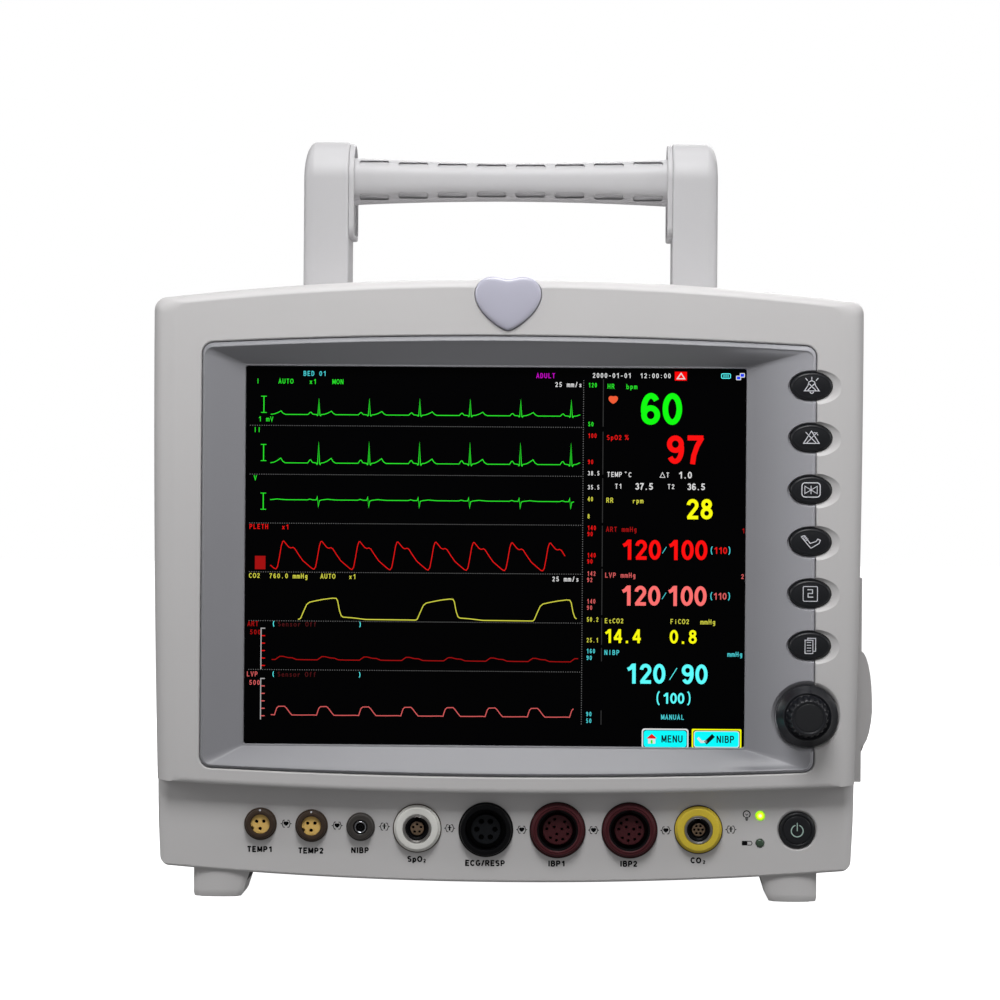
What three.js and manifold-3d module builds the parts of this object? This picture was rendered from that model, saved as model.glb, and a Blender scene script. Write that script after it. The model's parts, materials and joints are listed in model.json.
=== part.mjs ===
// Bedside patient monitor with a 12.1 inch display, a carrying handle and a side recorder.
// Millimetres, +Z up, front facing -Y. The design coordinates have x = 0 on the body's centre
// line, y = 0 on the front face and z = 0 on the table; the exported group is shifted at the end
// so that its origin is the centre of the bounding box's bottom.

import * as THREE from 'three';
import { mergeVertices } from 'three/addons/utils/BufferGeometryUtils.js';
import Module from 'manifold-3d';

const wasm = await Module();
wasm.setup();

// ---- Driving dimensions ----------------------------------------------------------------------

const GAP = 0.3; // between touching pieces
const WALL = 3; // moulded walls
const PAST = 2; // how far a cutter runs past the face it opens

// Body outline seen from the front: bowed top and bottom edges, sides that narrow downwards.
const BODY = {
  halfWidth: 174.4, widestZ: 290, taper: 4.4, taperSpan: 275,
  topZ: 305.4, topRadius: 1430, topCorner: 9,
  bottomZ: 9.3, bottomRadius: 2000, bottomCorner: 5,
};
const FRONT = { depth: 40, sideRound: 12, edgeRound: 5, roundDepth: 12 };
const REAR_FACE = 150;

// 12.1 inch 4:3 display: visible area 247 x 187, its surround and the module behind it.
const SCREEN = { left: -129.6, right: 117.8, bottom: 75.6, top: 262.7, corner: 1.5 };
const SURROUND = {
  left: -149.3, right: 151, bottomZ: 62.4, bottomRadius: 3125, topZ: 277.2, topRadius: 2680,
  corner: 5.5, rim: 0.5, depth: 8, thickness: 2.5,
};
const WINDOW = { overlap: 3.5, thickness: 2 };
const LCD = { width: 260.5, height: 204, thickness: 8.4 };

// Connector panel: set back under an overhanging lip.
const PANEL = { y: 9, halfWidth: 165, lipZ: 51, lipRadius: 2000, corner: 5 };

const KEY = { count: 6, x: 149.4, topZ: 253.8, pitch: 25.4, width: 21, height: 13.7, proud: 1.5 };
const KEY_DISH = { margin: 2.2, depth: 1.2 };
const KEY_BOARD_Y = 17;
const KNOB = { x: 147.6, z: 92.3, skirt: 15.75, grip: 8.85, proud: 15, shaft: 3, dish: 18 };
const POWER = { x: 143.7, z: 35.8, radius: 8.85 };
const LAMPS = [['power_led', 42.7, 2.2], ['battery_led', 29.2, 1.95]];
const LAMP_X = 125.5;
const HEART = { halfWidth: 16.7, tipZ: 280, shoulderZ: 297.5, topZ: 306.4, dipZ: 305.2, lobeX: 7.6 };

// Patient sockets: outer, bore and contact block diameters, and how deep the block is recessed.
const SOCKET_PROUD = 3.8;
const SOCKETS = [
  { name: 'temperature_1', x: -120.4, z: 36.6, outer: 16.1, bore: 9.8, insert: 8.8, recess: 5, colour: 0x2a2522 },
  { name: 'temperature_2', x: -95.2, z: 35.9, outer: 16.1, bore: 9.8, insert: 8.8, recess: 5, colour: 0x2a2522 },
  { name: 'cuff', x: -71.0, z: 35.6, outer: 14.1, bore: 10.4, insert: 6, recess: 0.8, colour: 0x1c1c1d },
  { name: 'oximeter', x: -43.1, z: 35.1, outer: 23.2, bore: 11.4, insert: 6.7, recess: 5, colour: 0xe6e4de },
  { name: 'ecg', x: -9.3, z: 34.7, outer: 27, bore: 19.6, insert: 14.9, recess: 5, colour: 0x202022 },
  { name: 'pressure_1', x: 26.0, z: 34.8, outer: 27, bore: 20.1, insert: 14.9, recess: 5, colour: 0x6a2430 },
  { name: 'pressure_2', x: 61.4, z: 35.0, outer: 27, bore: 20.1, insert: 14.9, recess: 5, colour: 0x6a2430 },
  { name: 'gas', x: 95.2, z: 35.7, outer: 23.2, bore: 12, insert: 6.4, recess: 5, colour: 0xd8b42c },
];

// Carrying handle: two upright arms through the rear housing's top, and a waisted grip.
const HANDLE = {
  y: 62, depth: 40, inner: 81, outer: 105, baseZ: 293, topZ: 378, corner: 8.3,
  gripZ: 358.8, gripHeight: 24, gripWaist: 20, gripDepth: 29,
};

const FOOT = { outer: 152.5, inner: 127, innerTop: 123.7, depth: 30, frontY: 14, rearY: 104 };
const BRACKET = { halfWidth: 50, y0: 50, y1: 110, z0: 4, z1: 9.2 };

// Recorder on the right side: flange plate, open paper bay behind a domed door.
const RECORDER = {
  plate: { x0: 174.7, x1: 180, y0: 52, y1: 132, z0: 56.3, z1: 159 },
  bay: { x0: 122, y0: 60, y1: 122, z0: 69, z1: 120 },
  door: { domeX: 186, z0: 66.6, z1: 122, wall: 2.2 },
  rollX: 147, rollZ: 93, rollRadius: 17, rollLength: 50, coreRadius: 6,
  platenX: 172.6, platenZ: 112.4, platenRadius: 4.5,
  pinX: 182.6, pinZ: 63.1, pinRadius: 1.2, knuckle: 2.4,
};
const LATCH = { y0: 84, y1: 100, z0: 126, z1: 133 };

const BATTERY = { x0: -166, x1: -20, y0: 70, y1: 112, z0: 66, z1: 88 };
const BATTERY_DOOR = { x0: -172.6, x1: -170, y0: 62, y1: 120, z0: 58, z1: 98, roll: 1.8 };

const INLET = { x: -95, z: 46, width: 27.5, height: 20, depth: 26 };
const INLET_MOUTH = { width: 24, height: 16.5, depth: 17 };
const NETWORK = { x: -42, z: 44, width: 16, height: 14, depth: 20 };
const NETWORK_MOUTH = { width: 11.8, height: 8.2, depth: 12 };

// ---- Solids ----------------------------------------------------------------------------------

// A closed solid from points and triangles, turned so that its faces point outwards.
function closed(positions, triangles) {
  let volume = 0;
  const at = (i) => new THREE.Vector3().fromArray(positions, 3 * i);
  for (const [a, b, c] of triangles) {
    volume += at(a).dot(at(b).cross(at(c)));
  }
  const order = volume < 0 ? triangles.map(([a, b, c]) => [a, c, b]) : triangles;
  return new wasm.Manifold(new wasm.Mesh({
    numProp: 3,
    vertProperties: new Float32Array(positions),
    triVerts: new Uint32Array(order.flat()),
  }));
}

// A three.js geometry as a solid, with its seams merged and slivers on an axis dropped.
function solid(geometry) {
  geometry.deleteAttribute('normal');
  geometry.deleteAttribute('uv');
  const merged = mergeVertices(geometry, 1e-5);
  const index = merged.index.array;
  const triangles = [];
  for (let i = 0; i < index.length; i += 3) {
    const [a, b, c] = [index[i], index[i + 1], index[i + 2]];
    if (a !== b && b !== c && c !== a) {
      triangles.push([a, b, c]);
    }
  }
  return closed(Array.from(merged.attributes.position.array), triangles);
}

function box(x0, x1, y0, y1, z0, z1) {
  const geometry = new THREE.BoxGeometry(x1 - x0, y1 - y0, z1 - z0);
  return solid(geometry.translate((x0 + x1) / 2, (y0 + y1) / 2, (z0 + z1) / 2));
}

// A solid of revolution about a line along Y through (x, z): profile points are [radius, y].
function turned(profile, x, z, segments = 20) {
  const points = profile.map(([radius, y]) => new THREE.Vector2(radius, y));
  return solid(new THREE.LatheGeometry(points, segments).translate(x, 0, z));
}

function rod(radius, y0, y1, x, z, segments = 20) {
  return turned([[0, y0], [radius, y0], [radius, y1], [0, y1]], x, z, segments);
}

// Joins rings of points into a tube. An open tube is capped; a looped one closes on itself.
// across lists the two axes that a cap is flat in.
function loft(rings, { looped = false, across = ['x', 'z'] } = {}) {
  const count = rings[0].length;
  const triangles = [];
  for (let r = 0; r < rings.length - (looped ? 0 : 1); r += 1) {
    const a = r * count;
    const b = ((r + 1) % rings.length) * count;
    for (let i = 0; i < count; i += 1) {
      const j = (i + 1) % count;
      triangles.push([a + i, b + i, b + j], [a + i, b + j, a + j]);
    }
  }
  const [u, v] = across;
  for (const end of looped ? [] : [0, rings.length - 1]) {
    const flat = rings[end].map((point) => new THREE.Vector2(point[u], point[v]));
    const turn = Math.sign(THREE.ShapeUtils.area(flat)) * (end === 0 ? 1 : -1);
    for (const face of THREE.ShapeUtils.triangulateShape(flat, [])) {
      const area = THREE.ShapeUtils.area(face.map((i) => flat[i]));
      const ordered = area * turn > 0 ? face : [...face].reverse();
      triangles.push(ordered.map((i) => end * count + i));
    }
  }
  const positions = rings.flat().flatMap((point) => [point.x, point.y, point.z]);
  return closed(positions, triangles);
}

// A flat outline in x and z at depth y, as a ring.
function ring(points, y) {
  return points.map((point) => new THREE.Vector3(point.x, y, point.y));
}

// An outline in x and z extruded along Y.
function prism(points, y0, y1) {
  return loft([ring(points, y0), ring(points, y1)]);
}

// An outline in y and z extruded along X.
function sidePrism(points, x0, x1) {
  const rings = [x0, x1].map((x) => points.map((point) => new THREE.Vector3(x, point.x, point.y)));
  return loft(rings, { across: ['y', 'z'] });
}

function ellipse(x, z, width, height, steps = 20) {
  return new THREE.EllipseCurve(x, z, width / 2, height / 2).getPoints(steps).slice(0, -1);
}

// Outline with bowed edges and round corners, counter-clockwise from its lower left corner.
// left and right are functions of z; bottom and top are functions of x.
function bowedOutline({ left, right, bottom, top, bottomCorner, topCorner }) {
  const edgeSteps = 8;
  const cornerSteps = 3;
  const corners = [[-1, -1], [1, -1], [1, 1], [-1, 1]].map(([sx, sz]) => {
    const side = sx < 0 ? left : right;
    const lid = sz < 0 ? bottom : top;
    const radius = sz < 0 ? bottomCorner : topCorner;
    const x = side(lid(0)) - sx * radius;
    return { x, z: lid(x) - sz * radius, radius };
  });
  const points = [];
  corners.forEach((corner, k) => {
    for (let i = 0; i <= cornerSteps; i += 1) {
      const angle = Math.PI * (1 + k / 2 + i / cornerSteps / 2);
      const x = corner.x + corner.radius * Math.cos(angle);
      points.push(new THREE.Vector2(x, corner.z + corner.radius * Math.sin(angle)));
    }
    const next = corners[(k + 1) % 4];
    for (let i = 1; i < edgeSteps; i += 1) {
      const x = THREE.MathUtils.lerp(corner.x, next.x, i / edgeSteps);
      const z = THREE.MathUtils.lerp(corner.z, next.z, i / edgeSteps);
      const edge = [[x, bottom(x)], [right(z), z], [x, top(x)], [left(z), z]][k];
      points.push(new THREE.Vector2(...edge));
    }
  });
  return points;
}

function bodyOutline(sideInset, topInset, bottomInset) {
  const half = (z) => {
    const drop = (BODY.widestZ - z) / BODY.taperSpan;
    return BODY.halfWidth - sideInset - BODY.taper * drop * drop;
  };
  return bowedOutline({
    left: (z) => -half(z),
    right: half,
    bottom: (x) => BODY.bottomZ + bottomInset + (x * x) / (2 * BODY.bottomRadius),
    top: (x) => BODY.topZ - topInset - (x * x) / (2 * BODY.topRadius),
    bottomCorner: BODY.bottomCorner,
    topCorner: BODY.topCorner,
  });
}

function surroundOutline(grow) {
  return bowedOutline({
    left: () => SURROUND.left - grow,
    right: () => SURROUND.right + grow,
    bottom: (x) => SURROUND.bottomZ - grow + (x * x) / (2 * SURROUND.bottomRadius),
    top: (x) => SURROUND.topZ + grow - (x * x) / (2 * SURROUND.topRadius),
    bottomCorner: SURROUND.corner,
    topCorner: SURROUND.corner,
  });
}

function screenOutline(grow) {
  return bowedOutline({
    left: () => SCREEN.left - grow,
    right: () => SCREEN.right + grow,
    bottom: () => SCREEN.bottom - grow,
    top: () => SCREEN.top + grow,
    bottomCorner: SCREEN.corner,
    topCorner: SCREEN.corner,
  });
}

function heartOutline(grow) {
  const h = HEART;
  const side = h.halfWidth + grow;
  const top = h.topZ + grow;
  const shape = new THREE.Shape();
  shape.moveTo(0, h.tipZ - grow);
  shape.bezierCurveTo(side / 3, h.tipZ + 4, side, h.shoulderZ - 8, side, h.shoulderZ);
  shape.bezierCurveTo(side, h.shoulderZ + 5.5, h.lobeX + 5, top, h.lobeX, top);
  shape.bezierCurveTo(h.lobeX - 3, top, 1.5, h.dipZ + grow, 0, h.dipZ + grow);
  const right = shape.getPoints(4);
  const left = right.slice(1, -1).reverse().map((point) => new THREE.Vector2(-point.x, point.y));
  return [...right, ...left];
}

// ---- The group and its materials --------------------------------------------------------------

const monitor = new THREE.Group();

function add(name, shape, [color, roughness, metalness = 0]) {
  const { vertProperties, triVerts } = shape.getMesh();
  const geometry = new THREE.BufferGeometry();
  geometry.setAttribute('position', new THREE.BufferAttribute(vertProperties, 3));
  geometry.setIndex(new THREE.BufferAttribute(triVerts, 1));
  const material = new THREE.MeshStandardMaterial({ color, roughness, metalness });
  const mesh = new THREE.Mesh(geometry, material);
  mesh.name = name;
  monitor.add(mesh);
}

const HOUSING_GREY = [0xb4b2b2, 0.55];
const SURROUND_GREY = [0x7d7c80, 0.5];
const KEY_BLACK = [0x242526, 0.6];
const KNOB_BLACK = [0x17181b, 0.35];
const STEEL = [0xb8b9bb, 0.35, 0.9];
const BOARD_GREEN = [0x1f4a35, 0.6];
const DARK_PLASTIC = [0x1d1d1f, 0.6];

// ---- Front housing ----------------------------------------------------------------------------

const windowY = SURROUND.depth + SURROUND.thickness + GAP;
const ledgeY = windowY + WALL;
const lcdY = windowY + WINDOW.thickness + GAP;
const screenX = (SCREEN.left + SCREEN.right) / 2;
const screenZ = (SCREEN.bottom + SCREEN.top) / 2;
const keyZ = (index) => KEY.topZ - index * KEY.pitch;
const panelBack = PANEL.y + WALL;

function lipOutline(grow) {
  return bowedOutline({
    left: () => -PANEL.halfWidth - grow,
    right: () => PANEL.halfWidth + grow,
    bottom: () => 0,
    top: (x) => PANEL.lipZ + grow + (x * x) / (2 * PANEL.lipRadius),
    bottomCorner: 1,
    topCorner: PANEL.corner,
  });
}

// The display module's rectangle, grown by a margin, between two depths.
function lcdBlock(grow, y0, y1) {
  const half = LCD.width / 2 + grow;
  const rise = LCD.height / 2 + grow;
  return box(screenX - half, screenX + half, y0, y1, screenZ - rise, screenZ + rise);
}

// The holes and dishes that the keys and the knob share between the surround and the housing.
function controlCuts() {
  let cuts = turned([[0, -PAST], [KNOB.dish, -PAST], [KNOB.dish, 2.5], [0, 2.5]], KNOB.x, KNOB.z);
  cuts = cuts.add(rod(5, -PAST, ledgeY + PAST, KNOB.x, KNOB.z));
  for (let i = 0; i < KEY.count; i += 1) {
    const grown = (margin) => ellipse(KEY.x, keyZ(i), KEY.width + margin, KEY.height + margin);
    cuts = cuts.add(prism(grown(2 * GAP), -PAST, ledgeY + PAST));
    cuts = cuts.add(prism(grown(2 * KEY_DISH.margin), -PAST, KEY_DISH.depth));
  }
  return cuts;
}

function frontHousing() {
  const rings = [];
  const roundSteps = 3;
  for (let i = 0; i <= roundSteps; i += 1) {
    const angle = (i / roundSteps) * (Math.PI / 2);
    const inset = 1 - Math.sin(angle);
    const edge = FRONT.edgeRound * inset;
    rings.push(ring(
      bodyOutline(FRONT.sideRound * inset, edge, edge),
      FRONT.roundDepth * (1 - Math.cos(angle)),
    ));
  }
  rings.push(ring(bodyOutline(0, 0, 0), FRONT.depth));
  const hollow = prism(bodyOutline(WALL + 5, WALL + 2, WALL + 2), WALL, FRONT.depth + PAST)
    .add(prism(bodyOutline(WALL, WALL, WALL), FRONT.roundDepth, FRONT.depth + PAST))
    .subtract(prism(surroundOutline(WALL), 0, ledgeY))
    .subtract(prism(lipOutline(WALL), 0, panelBack));
  let body = loft(rings)
    .subtract(hollow)
    .subtract(prism(lipOutline(0), -PAST, PANEL.y))
    .subtract(prism(surroundOutline(GAP), -PAST, windowY))
    .subtract(lcdBlock(2 * GAP, 0, ledgeY + PAST))
    .subtract(controlCuts())
    .subtract(prism(heartOutline(GAP), -PAST, FRONT.roundDepth + PAST))
    .subtract(rod(POWER.radius + GAP, 0, panelBack + PAST, POWER.x, POWER.z));
  for (const [, z, radius] of LAMPS) {
    body = body.subtract(rod(radius + GAP, 0, panelBack + PAST, LAMP_X, z, 12));
  }
  for (const { x, z, outer } of SOCKETS) {
    body = body.subtract(rod(outer / 2 - 1.6 + GAP, 0, panelBack + PAST, x, z));
  }
  return body;
}

// Shallow funnel from the raised rim down to the screen, in one ring-shaped moulding.
function displaySurround() {
  const back = SURROUND.depth + SURROUND.thickness;
  const funnel = loft([
    ring(surroundOutline(0), SURROUND.rim),
    ring(screenOutline(0), SURROUND.depth),
    ring(screenOutline(0), back),
    ring(surroundOutline(0), back),
  ], { looped: true });
  return funnel.subtract(controlCuts());
}

add('front_housing', frontHousing(), HOUSING_GREY);
add('display_surround', displaySurround(), SURROUND_GREY);
add('display_window', prism(screenOutline(WINDOW.overlap), windowY, windowY + WINDOW.thickness),
  [0x0c0d10, 0.12]);
add('lcd_module', lcdBlock(0, lcdY, lcdY + LCD.thickness), STEEL);
add('alarm_lamp', prism(heartOutline(0), -2.5, FRONT.roundDepth), [0xb9b8c4, 0.3]);

// ---- Keys, knob, power button and lamps ---------------------------------------------------------

for (let i = 0; i < KEY.count; i += 1) {
  const flangeY = ledgeY + GAP;
  const cap = prism(ellipse(KEY.x, keyZ(i), KEY.width, KEY.height), -KEY.proud, flangeY + 1);
  const flange = ellipse(KEY.x, keyZ(i), KEY.width + 2.4, KEY.height + 2.4);
  add(`key_${i + 1}`, cap.add(prism(flange, flangeY, flangeY + 1.2)), KEY_BLACK);
}
add('key_board', box(132, 166, KEY_BOARD_Y, KEY_BOARD_Y + 1.6, 112, 266), BOARD_GREEN);

add('control_knob', turned([
  [0, -KNOB.proud], [KNOB.grip, -KNOB.proud], [KNOB.grip, -7.5], [KNOB.skirt, -1.5],
  [KNOB.skirt, 1], [KNOB.shaft + GAP, 1], [KNOB.shaft + GAP, -10], [0, -10],
], KNOB.x, KNOB.z, 28), KNOB_BLACK);
add('encoder_shaft', rod(KNOB.shaft, -9.7, 17, KNOB.x, KNOB.z), STEEL);
add('encoder_plunger', rod(2.6, 17.3, 24, KNOB.x, KNOB.z), DARK_PLASTIC);
add('encoder_base', box(KNOB.x - 7, KNOB.x + 7, ledgeY + GAP, 22, KNOB.z - 7, KNOB.z + 7)
  .add(rod(4.6, 6, ledgeY + 1, KNOB.x, KNOB.z))
  .subtract(rod(KNOB.shaft + 0.1, 0, 30, KNOB.x, KNOB.z)), STEEL);

add('power_button', rod(POWER.radius, PANEL.y - 2, panelBack + 1, POWER.x, POWER.z)
  .add(rod(POWER.radius + 1.4, panelBack + GAP, panelBack + 1.6, POWER.x, POWER.z)), KEY_BLACK);
for (const [name, z, radius] of LAMPS) {
  const colour = name === 'power_led' ? 0xb6e23c : 0x16351f;
  add(name, rod(radius, PANEL.y - 0.8, panelBack + 3, LAMP_X, z, 12), [colour, 0.25]);
}

// ---- Patient sockets ----------------------------------------------------------------------------

const mouthY = PANEL.y - SOCKET_PROUD;
const socketFloor = mouthY + 9.5;

for (const { name, x, z, outer, bore, insert, recess, colour } of SOCKETS) {
  add(`socket_${name}`, turned([
    [0, socketFloor], [bore / 2, socketFloor], [bore / 2, mouthY], [outer / 2, mouthY],
    [outer / 2, PANEL.y - GAP], [outer / 2 - 1.6, PANEL.y - GAP],
    [outer / 2 - 1.6, socketFloor + 6], [0, socketFloor + 6],
  ], x, z), [colour, 0.45]);
  const finish = name === 'cuff' ? STEEL : DARK_PLASTIC;
  add(`insert_${name}`, rod(insert / 2, mouthY + recess, socketFloor - GAP, x, z, 16), finish);
}

// ---- Rear housing -------------------------------------------------------------------------------

// Rear housing rings: depth, then the insets of the sides, the top and the bottom.
const REAR_RINGS = [
  [FRONT.depth + GAP, 1, 1, 0.5], [120, 1.2, 3, 0.5], [136, 5, 10, 1],
  [146, 12, 20, 5], [REAR_FACE, 20, 30, 12],
];

function armOutline(grow) {
  const half = HANDLE.depth / 2 + grow;
  const shape = new THREE.Shape();
  shape.moveTo(HANDLE.y - half, HANDLE.baseZ);
  shape.lineTo(HANDLE.y + half, HANDLE.baseZ);
  shape.absarc(HANDLE.y, HANDLE.topZ - half, half, 0, Math.PI, false);
  return shape.getPoints(8);
}

function rearHousing() {
  const outer = loft(REAR_RINGS.map(([y, ...insets]) => ring(bodyOutline(...insets), y)));
  const inner = loft(REAR_RINGS.map(([y, side, top, bottom], i) => ring(
    bodyOutline(side + WALL, top + WALL, bottom + WALL),
    i === 0 ? y - PAST : y - (i === REAR_RINGS.length - 1 ? WALL : 1.5),
  )));
  const { plate, bay } = RECORDER;
  let shell = outer.subtract(inner)
    .subtract(box(100, 200, bay.y0 - 4, bay.y1 + 4, bay.z0 - 4, LATCH.z1 + 4))
    .subtract(box(-200, -100, BATTERY_DOOR.y0 - GAP, BATTERY_DOOR.y1 + GAP,
      BATTERY_DOOR.z0 - GAP, BATTERY_DOOR.z1 + GAP))
    .subtract(box(INLET.x - INLET.width / 2 - GAP, INLET.x + INLET.width / 2 + GAP,
      120, 200, INLET.z - INLET.height / 2 - GAP, INLET.z + INLET.height / 2 + GAP))
    .subtract(box(NETWORK.x - NETWORK.width / 2 - GAP, NETWORK.x + NETWORK.width / 2 + GAP,
      120, 200, NETWORK.z - NETWORK.height / 2 - GAP, NETWORK.z + NETWORK.height / 2 + GAP));
  for (const [x0, x1] of [[HANDLE.inner, HANDLE.outer], [-HANDLE.outer, -HANDLE.inner]]) {
    shell = shell.subtract(sidePrism(armOutline(GAP), x0 - GAP, x1 + GAP));
  }
  // The recorder plate lies in a flat land on the side wall.
  return shell.subtract(box(plate.x0 - GAP, 200, plate.y0 - GAP, plate.y1 + GAP,
    plate.z0 - GAP, plate.z1 + GAP));
}

add('rear_housing', rearHousing(), HOUSING_GREY);

// ---- Handle -------------------------------------------------------------------------------------

for (const [name, sign] of [['handle_arm_left', -1], ['handle_arm_right', 1]]) {
  const { inner, outer, baseZ, topZ, corner } = HANDLE;
  const front = new THREE.Shape();
  front.moveTo(inner * sign, baseZ - PAST);
  front.lineTo(outer * sign, baseZ - PAST);
  front.absarc((outer - corner) * sign, topZ - corner, corner, sign > 0 ? 0 : Math.PI,
    Math.PI / 2, sign < 0);
  front.lineTo(inner * sign, topZ);
  const slab = sidePrism(armOutline(0), Math.min(inner * sign, outer * sign),
    Math.max(inner * sign, outer * sign));
  const rounded = prism(front.getPoints(4), HANDLE.y - HANDLE.depth, HANDLE.y + HANDLE.depth);
  add(name, slab.intersect(rounded), [0xc6c5c4, 0.5]);
}

function handleGrip() {
  const reach = HANDLE.inner - GAP;
  const rings = [];
  const steps = 6;
  for (let i = 0; i <= steps; i += 1) {
    const across = -1 + (2 * i) / steps;
    const height = THREE.MathUtils.lerp(HANDLE.gripWaist, HANDLE.gripHeight, across * across);
    const section = ellipse(HANDLE.y, HANDLE.gripZ, HANDLE.gripDepth, height, 18);
    rings.push(section.map((point) => new THREE.Vector3(across * reach, point.x, point.y)));
  }
  return loft(rings, { across: ['y', 'z'] });
}

add('handle_grip', handleGrip(), [0xb9b8b6, 0.5]);

// ---- Feet and bracket plate -----------------------------------------------------------------------

// A foot: its front view cut to a plan with a half-round front end.
function footAt(sign, y0) {
  const topAt = (x) => BODY.bottomZ + (x * x) / (2 * BODY.bottomRadius) - GAP;
  const front = [
    new THREE.Vector2(FOOT.inner * sign, 0),
    new THREE.Vector2(FOOT.outer * sign, 0),
    new THREE.Vector2(FOOT.outer * sign, topAt(FOOT.outer)),
    new THREE.Vector2(FOOT.innerTop * sign, topAt(FOOT.innerTop)),
  ];
  const middle = (sign * (FOOT.outer + FOOT.innerTop)) / 2;
  const radius = (FOOT.outer - FOOT.innerTop) / 2;
  const post = new THREE.CylinderGeometry(radius, radius, 60, 20).rotateX(Math.PI / 2);
  const plan = solid(post.translate(middle, y0 + radius, 0))
    .add(box(middle - radius, middle + radius, y0 + radius, y0 + FOOT.depth, -30, 30));
  return prism(front, y0, y0 + FOOT.depth).intersect(plan);
}

add('foot_front_left', footAt(-1, FOOT.frontY), HOUSING_GREY);
add('foot_front_right', footAt(1, FOOT.frontY), HOUSING_GREY);
add('foot_rear_left', footAt(-1, FOOT.rearY), HOUSING_GREY);
add('foot_rear_right', footAt(1, FOOT.rearY), HOUSING_GREY);
add('bracket_plate', box(-BRACKET.halfWidth, BRACKET.halfWidth, BRACKET.y0, BRACKET.y1,
  BRACKET.z0, BRACKET.z1), STEEL);

// ---- Recorder -----------------------------------------------------------------------------------

function recorderFrame() {
  const { plate, bay, pinX, pinZ, pinRadius, knuckle } = RECORDER;
  let frame = box(plate.x0, plate.x1, plate.y0, plate.y1, plate.z0, plate.z1)
    .add(box(bay.x0 - 2, plate.x0 + 1, bay.y0 - 2, bay.y1 + 2, bay.z0 - 2, bay.z1 + 2));
  for (const y of [bay.y0 + 6, bay.y1 - 14.7]) {
    frame = frame.add(rod(knuckle, y, y + 8.7, pinX, pinZ, 16))
      .add(box(plate.x1 - 1, pinX, y, y + 8.7, pinZ - knuckle, pinZ + knuckle));
  }
  return frame
    .subtract(box(bay.x0, 200, bay.y0, bay.y1, bay.z0, bay.z1))
    .subtract(rod(pinRadius + 0.1, 0, 200, pinX, pinZ, 16))
    .subtract(box(160, 200, LATCH.y0 - GAP, LATCH.y1 + GAP, LATCH.z0 - GAP, LATCH.z1 + GAP));
}

function recorderDoor() {
  const { plate, bay, door, pinX, pinZ, pinRadius, knuckle } = RECORDER;
  const x0 = plate.x1 + GAP;
  const height = door.z1 - door.z0;
  const middle = (door.z0 + door.z1) / 2;
  const dome = (inset) => {
    const curve = new THREE.EllipseCurve(
      x0, middle, door.domeX - x0 - inset, height / 2 - inset, -Math.PI / 2, Math.PI / 2);
    return curve.getPoints(12);
  };
  const inner = dome(door.wall);
  inner[0].x -= PAST;
  inner[inner.length - 1].x -= PAST;
  const knuckleY = [bay.y0 + 15, bay.y1 - 15];
  return prism(dome(0), bay.y0 - 2, bay.y1 + 2)
    .add(box(x0, pinX + 1.5, ...knuckleY, pinZ, door.z0 + 1.5))
    .add(rod(knuckle - 0.1, ...knuckleY, pinX, pinZ, 16))
    .subtract(prism(inner, bay.y0 + 0.2, bay.y1 - 0.2))
    .subtract(rod(pinRadius + 0.1, 0, 200, pinX, pinZ, 16));
}

add('recorder_frame', recorderFrame(), HOUSING_GREY);
add('recorder_door', recorderDoor(), HOUSING_GREY);
{
  const { bay, pinX, pinZ, pinRadius } = RECORDER;
  const { rollX, rollZ, rollRadius, rollLength, coreRadius } = RECORDER;
  const { platenX, platenZ, platenRadius } = RECORDER;
  const middle = (bay.y0 + bay.y1) / 2;
  add('recorder_hinge_pin', rod(pinRadius, bay.y0 + 6, bay.y1 - 6, pinX, pinZ, 16), STEEL);
  const ends = [middle - rollLength / 2, middle + rollLength / 2];
  add('paper_roll', turned([
    [coreRadius, ends[0]], [rollRadius, ends[0]], [rollRadius, ends[1]],
    [coreRadius, ends[1]], [coreRadius, ends[0]],
  ], rollX, rollZ, 24), [0xf2f0ea, 0.85]);
  add('platen_roller', rod(platenRadius, bay.y0 + 2, bay.y1 - 2, platenX, platenZ), DARK_PLASTIC);
  add('print_head', box(156, platenX - platenRadius - 0.5, bay.y0 + 3, bay.y1 - 3, 113, 118), STEEL);
  add('recorder_latch', box(170, 181, LATCH.y0, LATCH.y1, LATCH.z0, LATCH.z1)
    .add(box(170, 172, LATCH.y0 - 2, LATCH.y1 + 2, LATCH.z0 - 1, LATCH.z1 + 1)), KEY_BLACK);
}

// ---- Battery, mains inlet, network port and the inside ------------------------------------------

add('battery_pack', box(BATTERY.x0, BATTERY.x1, BATTERY.y0, BATTERY.y1, BATTERY.z0, BATTERY.z1),
  DARK_PLASTIC);
{
  const { x0, x1, y0, y1, z0, z1, roll } = BATTERY_DOOR;
  add('battery_door', box(x0, x1, y0, y1, z0 + roll, z1)
    .add(rod(roll, y0, y1, x0 + roll, z0 + roll + 0.1, 16)), HOUSING_GREY);
}

// A block let into the rear face with a rectangular mouth in it.
function portBlock(port, mouth) {
  const y0 = REAR_FACE - port.depth;
  return box(port.x - port.width / 2, port.x + port.width / 2, y0, REAR_FACE,
    port.z - port.height / 2, port.z + port.height / 2)
    .subtract(box(port.x - mouth.width / 2, port.x + mouth.width / 2, REAR_FACE - mouth.depth,
      REAR_FACE + PAST, port.z - mouth.height / 2, port.z + mouth.height / 2));
}

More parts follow.
